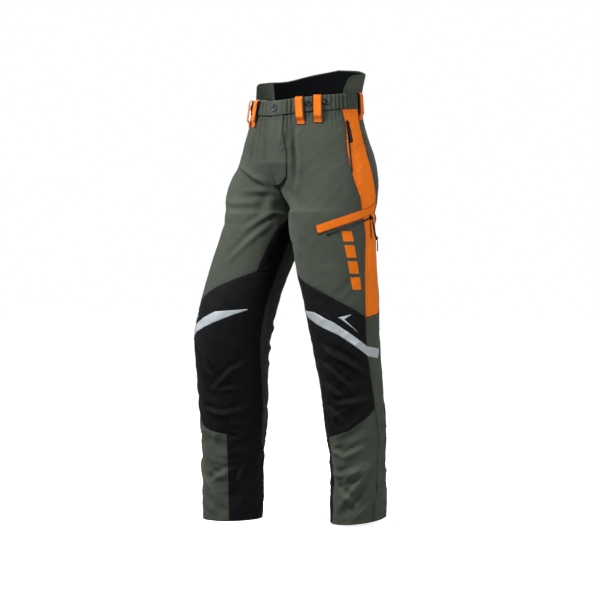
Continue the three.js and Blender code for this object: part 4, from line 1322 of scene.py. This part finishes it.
STRIPE_TOP = [[0.067, 549], [0.2, 543], [0.29, 518], [0.433, 460], [0.525, 452]]
STRIPE_BOTTOM = [[0.067, 546], [0.12, 534], [0.21, 510.5], [0.3, 488], [0.433, 435], [0.5, 428], [0.525, 444]]
CHEVRON_TOP = [[0.365, 536], [0.336, 526], [0.389, 496]]
CHEVRON_BOTTOM = [[0.365, 538], [0.31, 531], [0.387, 495]]
STRIPE_EDGES = [
    straight(STRIPE_BOTTOM, TRIM_STEP),
    straight([STRIPE_BOTTOM[-1], STRIPE_TOP[-1]], TRIM_STEP),
    backwards(straight(STRIPE_TOP, TRIM_STEP)),
    straight([STRIPE_TOP[0], STRIPE_BOTTOM[0]], TRIM_STEP),
]
CHEVRON_EDGES = [straight([CHEVRON_TOP[0], *CHEVRON_BOTTOM, *CHEVRON_TOP[::-1]], CHEVRON_STEP)]
for _side in SIDES:
    for _kind, _edges in (("stripe", STRIPE_EDGES), ("chevron", CHEVRON_EDGES)):
        _trim, _places, _area = cloth_piece(
            f"reflective_{_kind}_{_side}",
            _side,
            _edges,
            "reflective",
            outer=TRIM_OUT + TRIM_THICKNESS,
            inner=TRIM_OUT,
            step=TRIM_STEP,
            dip=0.3,
        )
        settle(_trim, "garment", f"knee_{_kind}_{_side}")


# ---- Belt loops: webbing with two ribs and a bar of stitches at each end ----
LOOP_COLUMNS = 20
LOOP_STEPS = 44
LOOP_LEAN = 6.0  # how far the front loops lean over their length


def belt_loop(name, side, u):
    rows = np.array(LOOP_ROWS, float)
    b = np.linspace(0, 1, LOOP_STEPS + 1)
    run = np.concatenate([[0], np.cumsum(np.hypot(*np.diff(rows, axis=0).T))])
    smooth_run = smooth_table(np.column_stack([run / run[-1], rows]))
    height, offset = smooth_run(b)
    place_u = u + (u == LOOP_PLACES["front"]) * LOOP_LEAN * (0.5 - b) / HALF_WAIST
    z = waist_height(u) + height
    points, out = skin(side, place_u, z)
    foot = cloth_height(side, place_u, z) * (height < -8)
    across = np.stack([-out[:, 1], out[:, 0], out[:, 0] * 0], 1)
    x = np.linspace(-0.5, 0.5, LOOP_COLUMNS + 1)
    rib = 0.55 * np.exp(-(((np.abs(x) - 0.27) / 0.09) ** 2)) - 0.7 * np.abs(2 * x) ** 8
    tack = np.exp(-(((b - 0.07) / 0.022) ** 2)) + np.exp(-(((b - 0.965) / 0.015) ** 2))
    width = LOOP_WIDTH * (1 - 0.05 * tack)
    middle = points[:, None] + across[:, None] * (x[None, :, None] * width[:, None, None])
    face = offset[:, None] + foot[:, None] + LOOP_THICKNESS
    face = face + rib[None] * (1 - 0.8 * tack[:, None]) + 0.5 * tack[:, None]
    back = (offset + foot)[:, None] + 0 * rib[None]
    edge = np.broadcast_to((0.5 - np.abs(x)) * LOOP_WIDTH, face.shape)
    along = np.broadcast_to((b * run[-1])[:, None], face.shape)
    lie = np.broadcast_to(x * LOOP_WIDTH, face.shape)
    outer = middle + out[:, None] * face[..., None]
    inner = middle + out[:, None] * back[..., None]
    flip = SIDES[side] < 0
    if flip:
        outer, inner = outer[:, ::-1], inner[:, ::-1]
    skins = LOOP_COLUMNS * LOOP_STEPS
    tacked = np.repeat((tack[:-1] + tack[1:]) / 2 > 0.55, LOOP_COLUMNS).astype(int)
    slots = np.concatenate([tacked, np.zeros(skins, int), np.zeros(2 * (LOOP_COLUMNS + LOOP_STEPS), int)])
    piece = grid_piece(
        name,
        outer,
        inner,
        ["orange_webbing", "bartack"],
        # the ribs as the lift that the material paints: painted highlight on the ribs, painted shade at the
        # edges
        np.stack([lie, along, rib[None] + 0 * face], 2),
        np.stack([edge, along, 0 * face], 2),
        slots=slots,
    )
    settle(piece, "garment", name.replace("webbing", "belt"))


for _side in SIDES:
    for _name, _u in LOOP_PLACES.items():
        belt_loop(f"webbing_loop_{_name}_{_side}", _side, _u)
belt_loop("webbing_loop_back", "left", 1.0)


# ---- Small hard parts, each in a frame that stands on the cloth: x across, y out, z up ----
def stand_on(point, normal):
    up = Vector((0, 0, 1)) - normal * normal.z
    up.normalize()
    across = normal.cross(up)
    return Matrix((across, normal, up)).transposed().to_4x4(), point


def cloth_frame(side, u, z, offset):
    point = skin_at(side, u, z, offset)
    out = skin_at(side, u, z, offset + 1) - point
    up = (skin_at(side, u, z + 6, offset) - skin_at(side, u, z - 6, offset)).normalized()
    normal = (out - up * out.dot(up)).normalized()
    return stand_on(point, normal)


def placed(points, place):
    turn, point = place
    rotation = np.array(turn.to_3x3())
    return np.asarray(points) @ rotation.T + np.array(point)


def turned_faces(rings, count):
    faces = []
    for j in range(rings - 1):
        for i in range(count):
            k = (i + 1) % count
            faces.append((j * count + i, j * count + k, (j + 1) * count + k, (j + 1) * count + i))
    faces.append(tuple(range(count))[::-1])
    faces.append(tuple((rings - 1) * count + i for i in range(count)))
    return faces


BUTTON_SEGMENTS = 48
# Shares of the radius and of the height, from the foot over the rim to the middle.
BUTTON_PROFILE = [
    *((0.72, 0.0), (0.86, 0.06), (0.96, 0.26), (1.0, 0.5), (0.98, 0.72), (0.93, 0.9), (0.85, 1.0)),
    *((0.77, 0.97), (0.71, 0.86), (0.66, 0.72), (0.5, 0.7), (0.3, 0.76), (0.1, 0.8)),
]


def button(name, node, place, radius, height):
    """A domed press button with a rolled rim and a sunk middle."""
    angle = np.linspace(0, 2 * np.pi, BUTTON_SEGMENTS, endpoint=False)
    rings = [
        np.stack([np.cos(angle) * r * radius, angle * 0 + h * height, np.sin(angle) * r * radius], 1)
        for r, h in BUTTON_PROFILE
    ]
    faces = [face[::-1] for face in turned_faces(len(BUTTON_PROFILE), BUTTON_SEGMENTS)]
    piece = make_piece(name, placed(np.vstack(rings), place), faces, "button")
    settle(piece, "garment", node)
    return piece


BUTTON_LEVEL = 20
WAIST_STUD = (9.2, 3.4)  # radius and height
BRACE_STUD = (7.5, 3.0)
BAND_FACE = WAISTBAND_THICKNESS + 0.6
_front = cloth_frame("left", 0.002, WAIST_HEIGHTS[0] + BUTTON_LEVEL, BAND_FACE + TAB_LIFT)
button("waist_stud", "waist_button", _front, *WAIST_STUD)
for _side in SIDES:
    for _name, _u in BRACE_BUTTONS.items():
        button(
            f"brace_stud_{_name}_{_side}",
            f"brace_button_{_name}_{_side}",
            cloth_frame(_side, _u, float(waist_height(_u)) + BUTTON_LEVEL, BAND_FACE),
            *BRACE_STUD,
        )


# ---- Zips ----
def between(p, q, t):
    return [p[0] + (q[0] - p[0]) * t, p[1] + (q[1] - p[1]) * t]


def arc_between(side, start, end, offset, width):
    """The circle that a zip's chain lies on, upright on the cloth and just clear of it."""
    halfway = between(start, end, 0.5)
    across = skin_at(side, halfway[0] + 0.004, halfway[1]) - skin_at(side, halfway[0] - 0.004, halfway[1])
    up = skin_at(side, halfway[0], halfway[1] + 5) - skin_at(side, halfway[0], halfway[1] - 5)
    normal = across.cross(up).normalized()
    if normal.dot(skin_at(side, *halfway, 1) - skin_at(side, *halfway)) < 0:
        normal.negate()
    first, last = skin_at(side, *start), skin_at(side, *end)
    along = last - first
    axis = along.cross(normal).normalized()
    rise = axis.cross(along).normalized()
    height = (skin_at(side, *halfway) - first).dot(rise)
    middle = first + along * 0.5 + rise * height
    a, b = middle - first, last - first
    cross = a.cross(b)
    towards = cross.cross(a) * b.length_squared + b.cross(cross) * a.length_squared
    centre = first + towards / (2 * cross.length_squared)
    level = first - centre
    facing = math.copysign(1, level.dot(rise))
    swing = level.angle(last - centre)
    angle = -facing * math.copysign(1, rise.dot(normal)) * swing
    over = 0.0
    for i in range(17):
        for shift in (-1, 0, 1):
            u, z = between(start, end, i / 16)
            away = skin_at(side, u + shift * width / 2 / USUAL_GIRTH, z) - centre
            away -= axis * away.dot(axis)
            over = max(over, facing * (away.length - level.length))
    radius = level.length + facing * (offset if offset < 0 else offset + over)
    return {
        **{"centre": centre, "axis": axis, "radius": radius},
        **{"angle": angle, "facing": facing, "level": level.normalized()},
    }


def arc_direction(arc, t):
    return Matrix.Rotation(arc["angle"] * t, 3, arc["axis"]) @ arc["level"]


COIL_PITCH = 2.2
TAPE_ROW = 0.55  # spacing of the vertices along the chain
COIL_HALF = 1.7


def zip_tape(name, arc, width):
    """The woven tape with its coil of teeth down the middle."""
    length = arc["radius"] * abs(arc["angle"])
    rows = max(20, round(length / TAPE_ROW))
    x = np.concatenate([[-0.5, -0.42], np.linspace(-COIL_HALF, COIL_HALF, 9) / width, [0.42, 0.5]]) * width
    t = np.linspace(0, 1, rows + 1)
    radial = np.array([arc_direction(arc, float(k)) for k in t])
    inside_coil = np.clip(1 - (x / COIL_HALF) ** 2, 0, 1) ** 0.5
    tooth = 0.5 + 0.5 * np.cos(2 * np.pi * (t[:, None] * length / COIL_PITCH + 0.5 * (x > 0)))
    height = TAPE_THICKNESS * (1 - 0.25 * (np.abs(x) > 0.45 * width)) + 0.35 * inside_coil * (tooth - 0.6)
    height = np.where(np.abs(x) < COIL_HALF, height, height - 0.25)
    base = np.array(arc["centre"]) + np.array(arc["axis"]) * x[None, :, None]
    outer = base + radial[:, None] * (arc["radius"] + arc["facing"] * height)[..., None]
    inner = base + radial[:, None] * (arc["radius"] + 0 * height)[..., None]
    towards = np.cross(outer[0, 1] - outer[0, 0], outer[1, 0] - outer[0, 0]) @ (outer[0, 0] - inner[0, 0])
    if towards < 0:
        outer, inner = outer[:, ::-1], inner[:, ::-1]
    columns = len(x) - 1
    coiled = np.tile(np.abs((x[:-1] + x[1:]) / 2) < COIL_HALF, rows).astype(int)
    slots = np.concatenate([coiled, np.zeros(rows * columns + 2 * (rows + columns), int)])
    cloth = np.stack(np.broadcast_arrays(x[None, :], (t * length)[:, None], 0.0), 2)
    edge = np.stack(np.broadcast_arrays((width / 2 - np.abs(x))[None, :], (t * length)[:, None], 0.0), 2)
    piece = grid_piece(name + "_chain", outer, inner, ["tape", "coil"], cloth, edge, slots=slots)
    settle(piece, "garment", name + "_tape")


PIN_RADIUS = 0.8
RIB_PITCH = 2.6
GRIP_TOP = 4.9  # how far under the pin the pull's grip starts
SLIDER_ROUNDING = 0.35
PULL_ROUNDING = 0.15
SHARP_EDGE = 35  # an edge sharper than this many degrees is rounded
PULL_FLARE = 1.6  # how much wider the grip is than its neck, on each side
PLATE_LOW = TAPE_THICKNESS + 0.4
PLATE_HIGH = PLATE_LOW + 1.5
PIN_LEVEL = PLATE_HIGH + 2
LUG_IN = 2.4
LUG_OUT = 3.8


def bevelled(piece, width, segments=3):
    """The piece with its sharp edges rounded."""
    modifier = piece.modifiers.new("round", "BEVEL")
    modifier.width = width * MM
    modifier.segments = segments
    modifier.limit_method = "ANGLE"
    modifier.angle_limit = math.radians(SHARP_EDGE)
    graph = bpy.context.evaluated_depsgraph_get()
    mesh = bpy.data.meshes.new_from_object(piece.evaluated_get(graph))
    piece.modifiers.clear()
    piece.data = mesh
    return piece


def loft(sections):
    """A closed solid through outlines of the same number of points."""
    count = len(sections[0])
    return np.vstack(sections), turned_faces(len(sections), count)


def joined(solids):
    points, faces, start = [], [], 0
    for some, sides in solids:
        points.append(some)
        faces += [tuple(k + start for k in face) for face in sides]
        start += len(some)
    return np.vstack(points), faces


def plate(outline, low, high):
    """An outline in x and z, raised from low to high along y."""
    across, up = np.array(outline, float).T
    return loft([np.column_stack([across, across * 0 + y, up]) for y in (low, high)])


def cross_bar(radius, half, y, count=14):
    angle = np.linspace(0, 2 * np.pi, count, endpoint=False)
    circle = np.stack([angle * 0, y + radius * np.cos(angle), radius * np.sin(angle)], 1)
    return loft([circle + [-half, 0, 0], circle + [half, 0, 0]])


SLIDER_HALF = [(-2.6, -6), (-4.0, -4.6), (-4.4, 1.5), (-3.6, 4.6), (-1.4, 6)]
SLIDER_OUTLINE = SLIDER_HALF + [(-x, z) for x, z in SLIDER_HALF[::-1]]


def slider_solid():
    lugs = [
        plate([(low, -2), (low, 2), (high, 2), (high, -2)], PLATE_HIGH - 0.3, PIN_LEVEL + 1.2)
        for low, high in ((-LUG_OUT, -LUG_IN), (LUG_IN, LUG_OUT))
    ]
    bridge = plate([(-1.5, 2.6), (-1.1, 5.0), (1.1, 5.0), (1.5, 2.6)], PLATE_HIGH - 0.2, PLATE_HIGH + 1.0)
    pin = cross_bar(PIN_RADIUS, LUG_IN + 0.5, PIN_LEVEL)
    return joined([plate(SLIDER_OUTLINE, PLATE_LOW, PLATE_HIGH), *lugs, bridge, pin])


def pull_solid(length):
    """A metal ring and neck, then a long moulded grip with ribs across it."""
    half = LUG_IN - 0.5
    ring_out, ring_in = PIN_RADIUS + 0.95, PIN_RADIUS + 0.25
    angle = np.linspace(0, 2 * np.pi, 20, endpoint=False)
    rim = [
        np.stack([angle * 0 + x, PIN_LEVEL + r * np.cos(angle), r * np.sin(angle)], 1)
        for r, x in ((ring_out, -half), (ring_out, half), (ring_in, half), (ring_in, -half))
    ]
    count = len(angle)
    ring_faces = []
    for j in range(4):
        for i in range(count):
            k, n = (i + 1) % count, (j + 1) % 4
            ring_faces.append((j * count + i, j * count + k, n * count + k, n * count + i))
    ring = (np.vstack(rim), ring_faces)
    narrow = half * 0.8
    neck_outline = [(-half, -5.4), (-narrow, -1.9), (narrow, -1.9), (half, -5.4)]
    neck = plate(neck_outline, PIN_LEVEL - 0.6, PIN_LEVEL + 0.6)
    sections = []
    for z in np.linspace(-GRIP_TOP, -length, 60):
        share = (z + GRIP_TOP) / (GRIP_TOP - length)
        end = math.sqrt(max(1 - (2 * share - 1) ** 14, 0.02))
        wide = (2.5 + PULL_FLARE * ramp(share, 0.08, 0.3)) * end
        ribbed = float(ramp(share, 0.3, 0.4) * (1 - ramp(share, 0.88, 0.94)))
        rib = 0.12 * math.cos(2 * math.pi * z / RIB_PITCH) * ribbed
        thick = (0.8 + rib) * end
        turn = np.linspace(0, 2 * np.pi, 24, endpoint=False)
        sections.append(
            np.stack(
                [
                    wide * signed_power(np.cos(turn), 0.5),
                    PIN_LEVEL + thick * signed_power(np.sin(turn), 0.6),
                    turn * 0 + z,
                ],
                1,
            )
        )
    return joined([ring, neck, loft(sections)])


def recalculated(piece):
    """Faces turned to point out of each closed part."""
    shape = bmesh.new()
    shape.from_mesh(piece.data)
    bmesh.ops.recalc_face_normals(shape, faces=shape.faces)
    shape.to_mesh(piece.data)
    shape.free()
    return piece


SLIDER_FROM_END = 9  # how far a closed zip's slider stands from the chain's end


def put_zip(name, side, start, end, pull_length):
    inside_fly = name == "fly_zip"
    width = FLY_TAPE if inside_fly else TAPE_WIDTH
    arc = arc_between(side, start, end, FLY_OFFSET if inside_fly else TRIM_OUT, width)
    zip_tape(name, arc, width)
    length = arc["radius"] * abs(arc["angle"])
    radial = arc_direction(arc, SLIDER_FROM_END / length)
    place = stand_on(arc["centre"] + radial * arc["radius"], radial * arc["facing"])
    for solid, kind, surface, slot, rounding in (
        (slider_solid(), "slider", "metal", "zip_metal", SLIDER_ROUNDING),
        (pull_solid(pull_length), "pull", "pull", "zip_pull", PULL_ROUNDING),
    ):
        points, faces = solid
        part = "runner" if kind == "slider" else "tab"
        piece = make_piece(f"{name}_{part}", placed(points, place), faces, surface)
        bevelled(recalculated(piece), rounding)
        settle(piece, f"{name}_{kind}", f"{name}_{kind}")


for _name, _zip in ZIPS.items():
    put_zip(_name, *_zip)

# ---- Floor, light and camera ----
CAMERA_AZIMUTH = 41.0
CAMERA_ELEVATION = 1.0
CAMERA_DISTANCE = 4.5
CAMERA_AIM_HEIGHT = 570
CAMERA_SIDESTEP = -0.0114  # to the camera's left
SENSOR = 36.0
WORLD_LIGHT = 0.2
FLOOR_GLOW = 0.86
LIGHT_AIM = 0.6  # the height that the lights point at
# Azimuth and elevation in degrees, distance and size in metres, power in watts.
LIGHTS = [
    ("key", -14, 46, 3.4, 0.7, 125),
    ("fill", 88, 18, 3.6, 1.6, 62),
    ("back_left", 205, 35, 3.6, 1.2, 70),
    ("back_right", 300, 30, 3.6, 1.6, 30),
]
FOCAL_LENGTH = 106.9
CLIP_END = 60


def direction(azimuth, elevation):
    a, e = math.radians(azimuth), math.radians(elevation)
    return Vector((math.sin(a) * math.cos(e), -math.cos(a) * math.cos(e), math.sin(e)))


def aimed(name, data, aim, away):
    """A camera or light, away from the place that it points at."""
    made = linked(name, data)
    made.location = aim + away
    made.rotation_euler = (-away).to_track_quat("-Z", "Y").to_euler()
    return made


def camera():
    turn = math.radians(CAMERA_AZIMUTH)
    right = Vector((math.cos(turn), math.sin(turn), 0))
    aim = Vector((SHIFT.x, SHIFT.y, CAMERA_AIM_HEIGHT + SHIFT.z)) * MM + right * CAMERA_SIDESTEP
    data = bpy.data.cameras.new("camera")
    data.sensor_width = SENSOR
    data.lens = FOCAL_LENGTH
    data.clip_end = CLIP_END
    away = direction(CAMERA_AZIMUTH, CAMERA_ELEVATION) * CAMERA_DISTANCE
    bpy.context.scene.camera = aimed("camera", data, aim, away)


def light(name, azimuth, elevation, distance, size, power):
    data = bpy.data.lights.new(name, "AREA")
    data.shape = "DISK"
    data.size = size
    data.energy = power
    aimed(name, data, Vector((0, 0, LIGHT_AIM)), distance * direction(azimuth, elevation))


def backdrop_mesh(name, points, faces, material):
    mesh = bpy.data.meshes.new(name)
    mesh.from_pydata(points, [], faces)
    mesh.materials.append(material)
    made = linked(name, mesh)
    made.visible_diffuse = False
    made.visible_glossy = False
    made.visible_shadow = False


WHITE = (1.0, 1.0, 1.0, 1.0)
DARK = (0.0, 0.0, 0.0, 1.0)
FLOOR_HALF = 16.0
FLOOR_LOW = -0.0005  # a hair under the hem, so that they don't meet
BACKDROP_HALF = 20.0


def floor():
    """A pale floor that fades into a white backdrop. Neither one lights the trousers."""
    shader = Shader(
        "pale_floor",
        Roughness=0.9,
        Specular_IOR_Level=0.0,
        Emission_Color=WHITE,
        Emission_Strength=FLOOR_GLOW,
    )
    tone = shader.total(0.9, shader.times(shader.grain(1.5, 2.0), 0.02))
    shader.paint(shader.brighten(WHITE, tone))
    half, low = FLOOR_HALF, FLOOR_LOW
    corners = [(-half, -half, low), (half, -half, low), (half, half, low), (-half, half, low)]
    backdrop_mesh("floor", corners, [(0, 1, 2, 3)], shader.material)
    white = Shader(
        "white_backdrop", Base_Color=DARK, Specular_IOR_Level=0.0, Emission_Color=WHITE, Emission_Strength=1.0
    )
    half = BACKDROP_HALF
    points = [(x, y, z) for x in (-half, half) for y in (-half, half) for z in (-half, half)]
    faces = [(0, 1, 3, 2), (4, 6, 7, 5), (0, 4, 5, 1), (2, 3, 7, 6), (0, 2, 6, 4), (1, 5, 7, 3)]
    backdrop_mesh("backdrop", points, faces, white.material)


def studio():
    world = bpy.data.worlds.new("studio")
    world.use_nodes = True
    world.node_tree.nodes["Background"].inputs["Color"].default_value = WHITE
    world.node_tree.nodes["Background"].inputs["Strength"].default_value = WORLD_LIGHT
    scene = bpy.context.scene
    scene.world = world
    scene.view_settings.view_transform = "Standard"
    for settings in LIGHTS:
        light(*settings)


camera()
floor()
studio()
